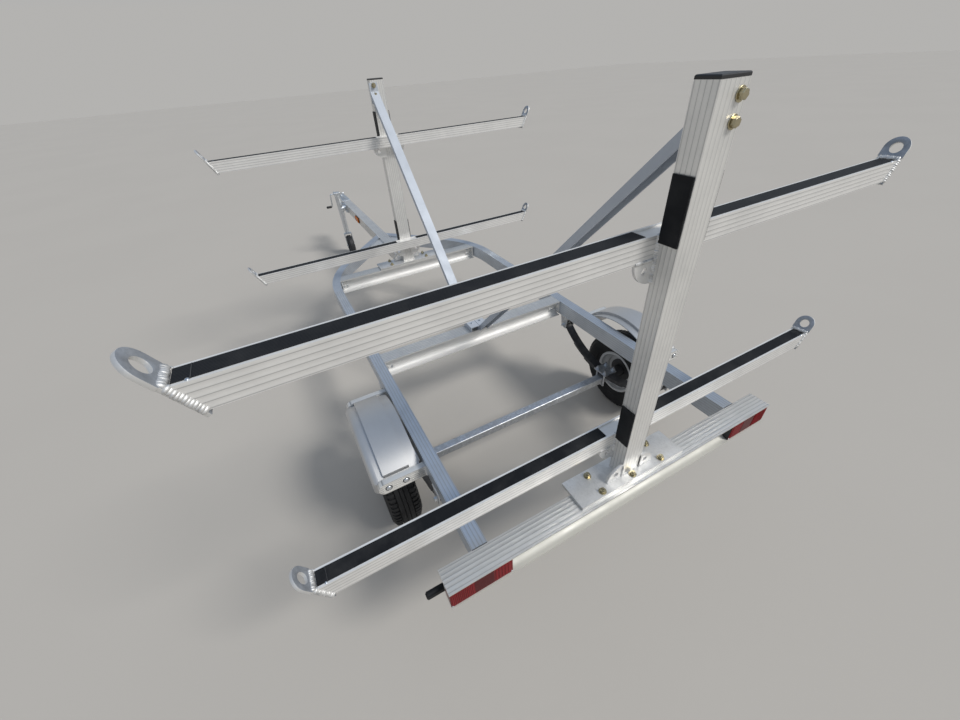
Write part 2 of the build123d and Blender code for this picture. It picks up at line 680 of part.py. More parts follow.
# Tail lamps in the open side of the rear cross member
LAMP_LEN = 198.0
web_face = REAR_BEAM_X - WEB_T / 2
lamp_back = REAR_EDGE + 1
with BuildPart() as tail_lamps:
    for hand in (-1, 1):
        spot = (
            st((web_face + lamp_back) / 2),
            hand * (REAR_BEAM_HALF - LAMP_LEN / 2),
            BEAM_MID_Z,
        )
        with Locations(spot):
            Box(web_face - lamp_back, LAMP_LEN, HOLLOW_H)
    fillet(tail_lamps.edges().filter_by(Axis.Z).group_by(Axis.X)[0], 4)
    add(crossmember_rear.part, mode=Mode.SUBTRACT)
tail_lamps.part.label = "tail_lamps"
export_step(tail_lamps.part, "parts/tail_lamps.step")

# Rubber stub out of the rear cross member's left end
STUB_R = 9.0
with BuildPart() as end_stub:
    with BuildSketch(Plane.XZ.offset(-(REAR_BEAM_HALF - 30))):
        with Locations((st(REAR_BEAM_X) + WEB_T / 2 + STUB_R, BEAM_MID_Z - 3)):
            SlotOverall(2 * STUB_R + 10, 2 * STUB_R, rotation=90)
    extrude(amount=-82)
    chamfer(end_stub.faces().sort_by(Axis.Y)[-1].edges(), 4)
end_stub.part.label = "end_stub"
export_step(end_stub.part, "parts/end_stub.step")

# Amber markers on the tongue's sides
MARKER_X = 3400.0
with BuildPart() as side_markers:
    for hand in (-1, 1):
        with Locations((st(MARKER_X), hand * (TONGUE_W / 2 + 7), RAIL_MID_Z)):
            Box(104, 14, 42)
    for hand in (-1, 1):
        outer = side_markers.faces().sort_by(Axis.Y)[-1 if hand > 0 else 0]
        fillet(outer.edges(), 5)
side_markers.part.label = "side_markers"
export_step(side_markers.part, "parts/side_markers.step")

# Coupler: folded sleeve over the tongue, tapering to the head with its ball socket
COUPLER_T = 4.0
COUPLER_H = 54.0
COUPLER_HALF = TONGUE_W / 2 + COUPLER_T
HEAD_BACK = 32.0
ball_z = FRAME_TOP - 24.0
with BuildPart() as coupler_whole:
    with BuildSketch(Plane.XY.offset(FRAME_TOP + COUPLER_T)):
        with BuildLine():
            Polyline(
                (st(COUPLER_BACK), -COUPLER_HALF),
                (st(COUPLER_BACK), COUPLER_HALF),
                (st(BALL_X - 110), COUPLER_HALF),
                (st(BALL_X - 8), SOCKET_R - 1),
                (st(BALL_X - 8), 1 - SOCKET_R),
                (st(BALL_X - 110), -COUPLER_HALF),
                close=True,
            )
        make_face()
        with Locations((st(BALL_X), 0)):
            Circle(SOCKET_R)
    extrude(amount=-COUPLER_H)
    fillet(coupler_whole.edges().group_by(Axis.Z)[-1], 3)
    with Locations((st(BALL_X), 0, ball_z)):
        Sphere(SOCKET_R - 3)
    split(bisect_by=Plane.XY.offset(FRAME_TOP + COUPLER_T - COUPLER_H), keep=Keep.TOP)
    with BuildSketch(Plane.XY.offset(FRAME_TOP)):
        with BuildLine():
            Polyline(
                (st(COUPLER_BACK) - 1, -TONGUE_W / 2),
                (st(COUPLER_BACK) - 1, TONGUE_W / 2),
                (st(BALL_X - 110), TONGUE_W / 2),
                (st(BALL_X - 40), 22),
                (st(BALL_X - 40), -22),
                (st(BALL_X - 110), -TONGUE_W / 2),
                close=True,
            )
        make_face()
    extrude(amount=-COUPLER_H, mode=Mode.SUBTRACT)
    with Locations((st(BALL_X), 0, ball_z)):
        Sphere(BALL_R, mode=Mode.SUBTRACT)
        Cylinder(BALL_R, 60, align=(Align.CENTER, Align.CENTER, Align.MAX), mode=Mode.SUBTRACT)
head_seam = Plane((st(BALL_X - HEAD_BACK), 0, 0), x_dir=(0, 1, 0), z_dir=(1, 0, 0))
with BuildPart() as coupler:
    add(coupler_whole.part)
    split(bisect_by=head_seam, keep=Keep.BOTTOM)
coupler.part.label = "coupler"
export_step(coupler.part, "parts/coupler.step")
with BuildPart() as coupler_head:
    add(coupler_whole.part)
    split(bisect_by=head_seam, keep=Keep.TOP)
coupler_head.part.label = "coupler_head"
export_step(coupler_head.part, "parts/coupler_head.step")

# Coupler latch: bent lever on its pivot block
latch_z = FRAME_TOP + COUPLER_T
with BuildPart() as coupler_latch:
    with BuildSketch(Plane.XZ.offset(-8)):
        with BuildLine():
            Polyline(
                (st(BALL_X - 75), latch_z),
                (st(BALL_X - 40), latch_z),
                (st(BALL_X - 44), latch_z + 22),
                (st(BALL_X - 58), latch_z + 34),
                (st(BALL_X - 150), latch_z + 44),
                (st(BALL_X - 190), latch_z + 60),
                (st(BALL_X - 194), latch_z + 54),
                (st(BALL_X - 152), latch_z + 36),
                (st(BALL_X - 78), latch_z + 24),
                close=True,
            )
        make_face()
    extrude(amount=16)
coupler_latch.part.label = "coupler_latch"
export_step(coupler_latch.part, "parts/coupler_latch.step")

# Jack bracket on the tongue's left side, with the swivel pin the jack folds about
PIN_R = 14.0
PIN_PLAY = 0.08
BOSS_R = 30.0
BOSS_OUT = TONGUE_W / 2 + 14
tube_side = JACK_Y - JACK_TUBE_R
with BuildPart() as jack_bracket:
    with Locations((st(JACK_X), TONGUE_W / 2 + 4, JACK_PIVOT_Z)):
        Box(120, 8, RAIL_H)
    with BuildSketch(Plane.XZ.offset(-(TONGUE_W / 2 + 8))):
        with Locations((st(JACK_X), JACK_PIVOT_Z)):
            Circle(BOSS_R)
    extrude(amount=TONGUE_W / 2 + 8 - BOSS_OUT)
    with BuildSketch(Plane.XZ.offset(-BOSS_OUT)):
        with Locations((st(JACK_X), JACK_PIVOT_Z)):
            Circle(PIN_R)
    extrude(amount=BOSS_OUT + 2 - tube_side)
jack_bracket.part.label = "jack_bracket"
export_step(jack_bracket.part, "parts/jack_bracket.step")

# Jack tube with its swivel plate and gear head
JACK_TUBE_LOW = FRAME_TOP - 118.0
JACK_TUBE_HIGH = FRAME_TOP + 100.0
SWIVEL_IN = BOSS_OUT + 1
with BuildPart() as jack_tube:
    with BuildSketch(Plane.XY.offset(JACK_TUBE_LOW)):
        with Locations((st(JACK_X), JACK_Y)):
            Circle(JACK_TUBE_R)
    extrude(amount=JACK_TUBE_HIGH - JACK_TUBE_LOW)
    with BuildSketch(Plane.XZ.offset(-SWIVEL_IN)):
        with Locations((st(JACK_X), JACK_PIVOT_Z)):
            Circle(BOSS_R)
    extrude(amount=SWIVEL_IN - JACK_Y)
    with BuildSketch(Plane.XY.offset(JACK_TUBE_LOW)):
        with Locations((st(JACK_X), JACK_Y)):
            Circle(JACK_LEG_R + 0.1)
    extrude(amount=JACK_TUBE_HIGH - JACK_TUBE_LOW, mode=Mode.SUBTRACT)
    with BuildSketch(Plane.XZ.offset(-(SWIVEL_IN - 1))):
        with Locations((st(JACK_X), JACK_PIVOT_Z)):
            Circle(PIN_R + PIN_PLAY)
    extrude(amount=SWIVEL_IN - tube_side, mode=Mode.SUBTRACT)
    with Locations((st(JACK_X), JACK_Y, JACK_TUBE_HIGH + 13)):
        Box(58, 62, 26)
    fillet(jack_tube.edges().group_by(Axis.Z)[-1], 5)
jack_tube.part.label = "jack_tube"
export_step(jack_tube.part, "parts/jack_tube.step")

# Crank: cross shaft, arm and grip
CRANK_R = 6.0
crank_z = JACK_TUBE_HIGH + 13
crank_y = JACK_Y + 31
with BuildPart() as jack_crank:
    with BuildLine() as crank_path:
        FilletPolyline(
            (st(JACK_X), crank_y, crank_z),
            (st(JACK_X), crank_y + 34, crank_z),
            (st(JACK_X) + 20, crank_y + 42, crank_z - 120),
            (st(JACK_X) + 20, crank_y + 100, crank_z - 120),
            radius=12,
        )
    with BuildSketch(Plane(crank_path.wires()[0] @ 0, z_dir=(0, 1, 0))):
        Circle(CRANK_R)
    sweep(path=crank_path.wires()[0])
jack_crank.part.label = "jack_crank"
export_step(jack_crank.part, "parts/jack_crank.step")

# Jack leg, the sliding inner tube with its swivel collar
LEG_LOW = 230.0
LEG_HIGH = JACK_TUBE_LOW + 48
with BuildPart() as jack_leg:
    with BuildSketch(Plane.XY.offset(LEG_LOW)):
        with Locations((st(JACK_X), JACK_Y)):
            Circle(JACK_LEG_R)
            Circle(JACK_LEG_R - 3, mode=Mode.SUBTRACT)
    extrude(amount=LEG_HIGH - LEG_LOW)
    with BuildSketch(Plane.XY.offset(LEG_LOW)):
        with Locations((st(JACK_X), JACK_Y)):
            Circle(JACK_LEG_R)
            Circle(10.08, mode=Mode.SUBTRACT)
    extrude(amount=20)
jack_leg.part.label = "jack_leg"
export_step(jack_leg.part, "parts/jack_leg.step")

# Caster fork with its swivel stem
FORK_CROWN_Z = 222.0
FORK_T = 5.0
FORK_GAP = 66.0
wheel_x = JACK_X - JACK_TRAIL
with BuildPart() as jack_fork:
    with BuildSketch(Plane.XY.offset(FORK_CROWN_Z - 6)):
        with Locations((st(JACK_X), JACK_Y)):
            Circle(24)
        with Locations((st(JACK_X - JACK_TRAIL / 2), JACK_Y)):
            Rectangle(JACK_TRAIL + 10, FORK_GAP + 2 * FORK_T)
    extrude(amount=6)
    with BuildSketch(Plane.XY.offset(FORK_CROWN_Z)):
        with Locations((st(JACK_X), JACK_Y)):
            Circle(10)
    extrude(amount=LEG_LOW + 19 - FORK_CROWN_Z)
    for edge in (-1, 1):
        with BuildSketch(Plane.XZ.offset(-(JACK_Y + edge * (FORK_GAP + FORK_T) / 2))):
            with BuildLine():
                Polyline(
                    (st(JACK_X + 5), FORK_CROWN_Z),
                    (st(JACK_X - JACK_TRAIL - 5), FORK_CROWN_Z),
                    (st(wheel_x) - 16, JACK_WHEEL_R - 12),
                    (st(wheel_x) + 16, JACK_WHEEL_R - 12),
                    close=True,
                )
            make_face()
            with Locations((st(wheel_x), JACK_WHEEL_R - 6)):
                Circle(17)
        extrude(amount=FORK_T / 2, both=True)
    with BuildSketch(Plane.XZ.offset(-(JACK_Y - FORK_GAP / 2 - FORK_T - 6))):
        with Locations((st(wheel_x), JACK_WHEEL_R)):
            Circle(6)
    extrude(amount=-(FORK_GAP + 2 * FORK_T + 12))
jack_fork.part.label = "jack_fork"
export_step(jack_fork.part, "parts/jack_fork.step")

# Jack wheel
WHEEL_HALF = 27.0
with BuildPart() as jack_wheel:
    with BuildSketch(Plane((st(wheel_x), JACK_Y, JACK_WHEEL_R), x_dir=(0, 1, 0), z_dir=(1, 0, 0))):
        with BuildLine():
            Polyline(
                (-30, 6.06), (-30, 16), (-16, 20), (-16, 62), (-WHEEL_HALF, 68), (-WHEEL_HALF, 88),
                (-15, JACK_WHEEL_R), (15, JACK_WHEEL_R), (WHEEL_HALF, 88), (WHEEL_HALF, 68),
                (16, 62), (16, 20), (30, 16), (30, 6.06), close=True,
            )
        make_face()
    revolve(axis=Axis((st(wheel_x), JACK_Y, JACK_WHEEL_R), (0, 1, 0)))
jack_wheel.part.label = "jack_wheel"
export_step(jack_wheel.part, "parts/jack_wheel.step")
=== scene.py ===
"""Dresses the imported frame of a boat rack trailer: finishes for its metal, rubber and plastic,
tyres with tread, bolts, weld beads, lamps and the small fittings, and a plain studio round it."""

import math

import bpy
from bpy.props import FloatProperty, FloatVectorProperty, IntProperty, PointerProperty
from mathutils import Matrix, Vector


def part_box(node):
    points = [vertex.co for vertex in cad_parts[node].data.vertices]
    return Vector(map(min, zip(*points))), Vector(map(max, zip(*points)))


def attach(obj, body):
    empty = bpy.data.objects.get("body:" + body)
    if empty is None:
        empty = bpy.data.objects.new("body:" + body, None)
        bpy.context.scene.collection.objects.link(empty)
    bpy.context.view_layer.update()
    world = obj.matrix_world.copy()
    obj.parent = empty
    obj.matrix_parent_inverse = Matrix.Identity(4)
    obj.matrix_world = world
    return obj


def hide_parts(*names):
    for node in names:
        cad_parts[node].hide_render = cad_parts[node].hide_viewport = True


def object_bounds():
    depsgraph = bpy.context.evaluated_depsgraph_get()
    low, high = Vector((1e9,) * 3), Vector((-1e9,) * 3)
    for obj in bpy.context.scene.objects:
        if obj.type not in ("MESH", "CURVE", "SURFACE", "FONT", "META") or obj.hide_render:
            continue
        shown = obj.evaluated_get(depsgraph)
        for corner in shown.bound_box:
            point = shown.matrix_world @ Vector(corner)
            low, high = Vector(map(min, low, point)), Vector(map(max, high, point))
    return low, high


bl_info = {
    "name": "Boat Rack Trailer",
    "version": (1, 0, 0),
    "blender": (4, 5, 0),
    "location": "View3D > Sidebar > Trailer",
    "description": "Finishes and fittings for a boat rack trailer built on its CAD frame",
    "category": "Object",
}

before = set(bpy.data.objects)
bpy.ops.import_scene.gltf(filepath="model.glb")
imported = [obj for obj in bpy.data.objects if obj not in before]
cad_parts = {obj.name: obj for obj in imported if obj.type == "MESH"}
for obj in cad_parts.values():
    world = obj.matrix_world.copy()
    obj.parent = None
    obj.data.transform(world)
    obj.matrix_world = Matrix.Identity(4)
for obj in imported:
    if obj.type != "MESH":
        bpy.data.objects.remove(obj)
CAD_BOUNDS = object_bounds()

# Places read off the frame, in metres
MAST_LOW, MAST_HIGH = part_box("mast_rear")
MAST_FACE_X = MAST_HIGH.x
MAST_HALF = MAST_HIGH.y
MAST_DEPTH = MAST_HIGH.x - MAST_LOW.x
FRONT_MAST_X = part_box("mast_front")[0].x
PLATE_TOP = MAST_LOW.z
RAIL_LOW, RAIL_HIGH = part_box("rail_left")
FRAME_LOW, FRAME_TOP = RAIL_LOW.z, RAIL_HIGH.z
RAIL_MID_Z = (FRAME_TOP + FRAME_LOW) / 2
RAIL_INNER_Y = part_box("crossmember_middle")[1].y
# The fender brackets reach this far past the rails
BRACKET_REACH = 0.1756
RAIL_OUTER_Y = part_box("fender_brackets")[1].y - BRACKET_REACH
TONGUE_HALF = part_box("tongue")[1].y
TYRE_LOW, TYRE_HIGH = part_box("tyre_left")
AXLE = (TYRE_LOW + TYRE_HIGH) / 2
ABOVE_ALL = CAD_BOUNDS[1][2] + 0.01

# Flutes of the extrusions: their pitch, the flat margin beside them and half a ridge line's width
FLUTE_PITCH = 0.0127
FLUTE_MARGIN = 0.0024
RIDGE_HALF = 0.0011
BRACKET_GROOVE = 0.010
# The arms: their height, the lips beside the rubber strip and how far the end leans out
ARM_TALL = 0.055
ARM_LIP = 0.0042
ARM_SLANT = 0.027
EYE_LEAN = math.atan2(ARM_SLANT, ARM_TALL)
# The rails run straight this far from their rear ends
RAIL_STRAIGHT = 1.886

WAYS = (-1, 1)
SIDES = (("left", 1), ("right", -1))
# Name, the mast's face that carries the arms, and the way that face looks along X
ENDS = (("rear", MAST_FACE_X, 1), ("front", FRONT_MAST_X, -1))
ARMS = [(f"arm_{end}_{level}", face_x, ahead) for end, face_x, ahead in ENDS for level in ("upper", "lower")]


# Sizes and colours

# What all colours, all lengths and all shares have in common
COLOUR = {"subtype": "COLOR", "size": 3, "min": 0, "max": 1}
LENGTH = {"unit": "LENGTH", "min": 0.001}
SHARE = {"subtype": "FACTOR", "min": 0, "max": 1}


class StageSettings(bpy.types.PropertyGroup):
    """The plain studio and its camera."""

    floor_colour: FloatVectorProperty(
        name="Floor", description="Colour of the pale floor", default=(0.475, 0.453, 0.422), **COLOUR,
    )
    backdrop_colour: FloatVectorProperty(
        name="Backdrop", description="What is seen past the floor and mirrored at eye level",
        default=(0.455, 0.449, 0.437), **COLOUR,
    )
    wall_colour: FloatVectorProperty(
        name="Wall", description="What the metal mirrors a little above eye level",
        default=(0.37, 0.41, 0.46), **COLOUR,
    )
    overhead_colour: FloatVectorProperty(
        name="Overhead", description="What the metal mirrors from above", default=(0.26, 0.34, 0.47),
        **COLOUR,
    )
    low_sky_colour: FloatVectorProperty(
        name="Low sky", description="Colour of the soft light from the sides", default=(0.42, 0.43, 0.44),
        **COLOUR,
    )
    sky_colour: FloatVectorProperty(
        name="Sky", description="Colour of the soft light from above", default=(0.80, 0.88, 1.0), **COLOUR,
    )
    sky_strength: FloatProperty(
        name="Sky strength", description="Strength of the soft light from all round", default=0.55, min=0,
    )
    key_colour: FloatVectorProperty(
        name="Key colour", description="Colour of the broad light", default=(1.0, 0.97, 0.92), **COLOUR,
    )
    key_strength: FloatProperty(
        name="Key light", description="Strength of the broad light from behind the trailer", default=2.35,
        min=0,
    )
    key_spread: FloatProperty(
        name="Key spread", description="How wide the key light looks, which softens its shadows",
        default=math.radians(17), min=0, unit="ROTATION",
    )
    key_from: FloatVectorProperty(
        name="Key from", description="Where the broad light comes from", subtype="XYZ", size=3,
        default=(-0.62, -0.52, 0.80),
    )
    camera_place: FloatVectorProperty(
        name="Camera place", description="Where the camera stands", subtype="TRANSLATION", size=3,
        default=(-2.6614, 0.7397, 1.6117),
    )
    camera_turn: FloatVectorProperty(
        name="Camera turn", description="How the camera is turned", subtype="EULER", size=3,
        default=(math.radians(52.428), math.radians(3.678), math.radians(-118.299)),
    )
    lens: FloatProperty(
        name="Lens", description="Focal length on a 36 mm wide sensor", default=14.64, min=1, unit="CAMERA",
    )


class MetalSettings(bpy.types.PropertyGroup):
    """Colours and polish of the metals."""

    aluminium: FloatVectorProperty(
        name="Aluminium", description="Colour of the extrusions", default=(0.80, 0.797, 0.785), **COLOUR,
    )
    aluminium_roughness: FloatProperty(
        name="Aluminium roughness", description="Polish of the extrusions", default=0.37, **SHARE,
    )
    aluminium_metallic: FloatProperty(
        name="Aluminium sheen", description="Share of mirror reflection under the thin oxide skin",
        default=0.76, **SHARE,
    )
    # Dark lines on the flutes' ridges: partly oxide, partly painted shade of the flutes
    oxide_and_painted_shade: FloatVectorProperty(
        name="Oxide lines", description="Colour of the ridges between flutes",
        default=(0.36, 0.365, 0.36), **COLOUR,
    )
    matt_web: FloatVectorProperty(
        name="Rear beam's web", description="Colour of the rear beam's hollow side",
        default=(0.60, 0.595, 0.55), **COLOUR,
    )
    # Bluish grey of the braces, darker than the aluminium: painted sky reflection
    brace: FloatVectorProperty(
        name="Braces", description="Colour of the dull channel braces", default=(0.50, 0.54, 0.60), **COLOUR,
    )
    # Darker and bluer than the aluminium: painted sky reflection on the eyes' faces
    eye_face_and_sky_reflection: FloatVectorProperty(
        name="Tie-down eyes", description="Colour of the eyes' dull faces", default=(0.47, 0.50, 0.545),
        **COLOUR,
    )
    galvanised: FloatVectorProperty(
        name="Galvanised steel", description="Colour of the axle and hangers", default=(0.55, 0.57, 0.60),
        **COLOUR,
    )
    zinc: FloatVectorProperty(
        name="Bright zinc", description="Colour of the coupler and jack", default=(0.70, 0.73, 0.76),
        **COLOUR,
    )
    yellow_zinc: FloatVectorProperty(
        name="Yellow zinc", description="Colour of the bolts through masts and foot plates",
        default=(0.50, 0.445, 0.30), **COLOUR,
    )
    black_steel: FloatVectorProperty(
        name="Black steel", description="Colour of the springs and hubs", default=(0.028, 0.028, 0.030),
        **COLOUR,
    )
    rim_paint: FloatVectorProperty(
        name="Rim paint", description="Colour of the wheel rims", default=(0.56, 0.57, 0.58), **COLOUR,
    )


class SoftSettings(bpy.types.PropertyGroup):
    """Colours of rubber and plastic."""

    strip: FloatVectorProperty(
        name="Rubber strips", description="Colour of the strips on arms and masts",
        default=(0.009, 0.010, 0.012), **COLOUR,
    )
    cut_edge: FloatVectorProperty(
        name="Cuts", description="Colour of the cuts across the strips", default=(0.05, 0.052, 0.055),
        **COLOUR,
    )
    tyre: FloatVectorProperty(
        name="Tyres", description="Colour of the tyre rubber", default=(0.022, 0.022, 0.023), **COLOUR,
    )
    cap: FloatVectorProperty(
        name="Black plastic", description="Colour of caps, lamp housings and jack wheel",
        default=(0.020, 0.020, 0.022), **COLOUR,
    )
    fender: FloatVectorProperty(
        name="Fenders", description="Colour of the moulded fenders", default=(0.56, 0.562, 0.565), **COLOUR,
    )
    red_lens: FloatVectorProperty(
        name="Tail lamp", description="Colour of the tail lamp lenses", default=(0.17, 0.003, 0.007),
        **COLOUR,
    )
    lamp_field: FloatVectorProperty(
        name="Bright lamp field", description="Colour of the lamps' inner and outer fields",
        default=(0.22, 0.002, 0.007), **COLOUR,
    )
    lamp_plate_field: FloatVectorProperty(
        name="Dark lamp field", description="Colour of the lamps' middle fields",
        default=(0.10, 0.002, 0.005), **COLOUR,
    )
    amber_lens: FloatVectorProperty(
        name="Side marker", description="Colour of the side marker lenses", default=(0.75, 0.17, 0.01),
        **COLOUR,
    )


class TyreSettings(bpy.types.PropertyGroup):
    """The road tyres' tread."""

    groove_depth: FloatProperty(
        name="Groove depth", description="Depth of the tread grooves", default=0.006, min=0, unit="LENGTH",
    )
    pitches: IntProperty(
        name="Tread pitches", description="Tread blocks round each rib", default=60, min=12,
    )


class BoltSettings(bpy.types.PropertyGroup):
    """Hexagon bolts and their washers."""

    across: FloatProperty(
        name="Across flats", description="Width of a bolt head", default=0.0165, **LENGTH,
    )
    head: FloatProperty(
        name="Head height", description="Height of a bolt head", default=0.0075, **LENGTH,
    )
    washer: FloatProperty(
        name="Washer radius", description="Radius of the washer under a head", default=0.0126, **LENGTH,
    )
    small: FloatProperty(
        name="Small bolts", description="Width of the heads on clips and feet", default=0.011, **LENGTH,
    )


class WeldSettings(bpy.types.PropertyGroup):
    """The ropey weld beads."""

    width: FloatProperty(
        name="Bead width", description="Width of the beads at the eyes", default=0.0155, **LENGTH,
    )
    ripple: FloatProperty(
        name="Ripple", description="Distance from one ripple of such a bead to the next", default=0.0052,
        **LENGTH,
    )
    fine: FloatProperty(
        name="Finer beads", description="Size of most other beads, as a share of these", default=0.62,
        min=0.1, subtype="FACTOR",
    )
    joint: FloatProperty(
        name="Joint beads", description="Size of the beads between arms and masts, as a share of these",
        default=1.1, min=0.1, subtype="FACTOR",
    )


# Handling of pieces


def deselect_everything():
    """Object mode with nothing selected, as every operator starts."""
    if bpy.context.mode != "OBJECT":
        bpy.ops.object.mode_set(mode="OBJECT")
    bpy.ops.object.select_all(action="DESELECT")


def pick(piece):
    """Only this piece selected and active."""
    deselect_everything()
    piece.select_set(True)
    bpy.context.view_layer.objects.active = piece


def name_new(name):
    """The object that a primitive has just added, under its own name."""
    piece = bpy.context.object
    piece.name = name
    piece.data.name = name
    return piece


def pick_faces(piece, wanted):
    """In edit mode, selects the faces for which wanted(centre, normal) holds."""
    pick(piece)
    bpy.ops.object.mode_set(mode="EDIT")
    bpy.ops.mesh.select_mode(type="FACE")
    bpy.ops.mesh.select_all(action="DESELECT")
    bpy.ops.object.mode_set(mode="OBJECT")
    for face in piece.data.polygons:
        face.select = bool(wanted(face.center, face.normal))
    bpy.ops.object.mode_set(mode="EDIT")


def draw_outline(name, points, fill=True):
    """A vertex extruded from point to point, and the outline filled if asked."""
    deselect_everything()
    bpy.ops.mesh.primitive_plane_add(size=0.002, location=points[0])
    piece = name_new(name)
    bpy.ops.object.transform_apply(location=True)
    bpy.ops.object.mode_set(mode="EDIT")
    bpy.ops.mesh.select_mode(type="VERT")
    bpy.ops.mesh.select_all(action="SELECT")
    bpy.ops.mesh.merge(type="CENTER")
    for here, there in zip(points, points[1:]):
        step = Vector(there) - Vector(here)
        bpy.ops.mesh.extrude_region_move(TRANSFORM_OT_translate={"value": step})
    bpy.ops.mesh.select_all(action="SELECT")
    if fill:
        bpy.ops.mesh.edge_face_add()
    return piece


def prism(name, points, way):
    """A filled outline extruded along a way, its faces turned outward."""
    piece = draw_outline(name, points)
    bpy.ops.mesh.extrude_region_move(TRANSFORM_OT_translate={"value": Vector(way)})
    bpy.ops.mesh.select_all(action="SELECT")
    bpy.ops.mesh.normals_make_consistent(inside=False)
    bpy.ops.object.mode_set(mode="OBJECT")
    return piece


def block(name, low, high, edge=0.0):
    """A block between two corners, its edges rounded if asked."""
    corners = [(low[0], y, z) for y, z in (
        (low[1], low[2]), (high[1], low[2]), (high[1], high[2]), (low[1], high[2]),
    )]
    piece = prism(name, corners, (high[0] - low[0], 0, 0))
    if edge:
        round_edges(piece, edge)
    return piece


def turn_outline(name, points, centre, axis, steps, closed=True):
    """A profile spun all the way round an axis into a turned piece."""
    piece = draw_outline(name, points, fill=False)
    if closed:
        bpy.ops.mesh.edge_face_add()
        bpy.ops.mesh.delete(type="ONLY_FACE")
        bpy.ops.mesh.select_all(action="SELECT")
    bpy.ops.mesh.spin(steps=steps, angle=math.tau, center=centre, axis=axis)
    bpy.ops.mesh.select_all(action="SELECT")
    bpy.ops.mesh.remove_doubles(threshold=0.00002)
    bpy.ops.mesh.normals_make_consistent(inside=False)
    bpy.ops.object.mode_set(mode="OBJECT")
    return piece


def round_edges(piece, width, segments=2, angle=30):
    """A Bevel modifier on the sharp edges, applied."""
    pick(piece)
    bevel = piece.modifiers.new("Bevel", "BEVEL")
    bevel.width = width
    bevel.segments = segments
    bevel.limit_method = "ANGLE"
    bevel.angle_limit = math.radians(angle)
    bpy.ops.object.modifier_apply(modifier=bevel.name)


def smooth(piece, angle=35):
    """Smooth shading that keeps the sharp edges."""
    pick(piece)
    bpy.ops.object.shade_smooth_by_angle(angle=math.radians(angle))


def join(pieces, name):
    """Several objects as one."""
    deselect_everything()
    for piece in pieces:
        piece.select_set(True)
    bpy.context.view_layer.objects.active = pieces[0]
    if len(pieces) > 1:
        bpy.ops.object.join()
    return name_new(name)


def facing(normal, turn=0.0):
    """A turn that takes +Z to a direction, after a turn about +Z."""
    return Vector(normal).to_track_quat("Z", "Y").to_matrix() @ Matrix.Rotation(turn, 3, "Z")


def copy_at(model, matrix):
    """A copy of a model with its own mesh, put where the matrix says."""
    pick(model)
    bpy.ops.object.duplicate()
    copy = bpy.context.object
    copy.matrix_world = matrix
    bpy.ops.object.transform_apply(location=True, rotation=True, scale=True)
    return copy


def copy_to(model, places, name):
    """Joined copies of one model at (spot, normal, turn)."""
    copies = [
        copy_at(model, Matrix.Translation(spot) @ facing(normal, turn).to_4x4())
        for spot, normal, turn in places
    ]
    return join(copies, name)


def throw_away(*pieces):
    """Deletes models that were only made to be copied."""
    deselect_everything()
    for piece in pieces:
        piece.select_set(True)
    bpy.ops.object.delete()


def settle(piece, body, finish):
    """Puts a piece's place into its mesh, gives it its finish and lets it ride on a body."""
    pick(piece)
    bpy.ops.object.transform_apply(location=True, rotation=True, scale=True)
    piece.data.materials.clear()
    piece.data.materials.append(finish)
    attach(piece, body)
    return piece


def soften(node, width, finish):
    """A copy of a CAD piece with its sharp edges rounded, which stands for it."""
    deselect_everything()
    piece = bpy.data.objects.new(node + "_rounded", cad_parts[node].data.copy())
    bpy.context.scene.collection.objects.link(piece)
    pick(piece)
    bpy.ops.mesh.customdata_custom_splitnormals_clear()
    bpy.ops.object.mode_set(mode="EDIT")
    bpy.ops.mesh.select_all(action="SELECT")
    bpy.ops.mesh.remove_doubles(threshold=0.00001)
    bpy.ops.mesh.dissolve_limited(angle_limit=math.radians(1.0))
    bpy.ops.object.mode_set(mode="OBJECT")
    round_edges(piece, width, 2, 40)
    smooth(piece, 30)
    settle(piece, "frame", finish)
    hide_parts(node)
    return piece


def middle_of(node):
    """The middle of a CAD piece's box."""
    low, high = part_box(node)
    return (low + high) / 2


# Finishes


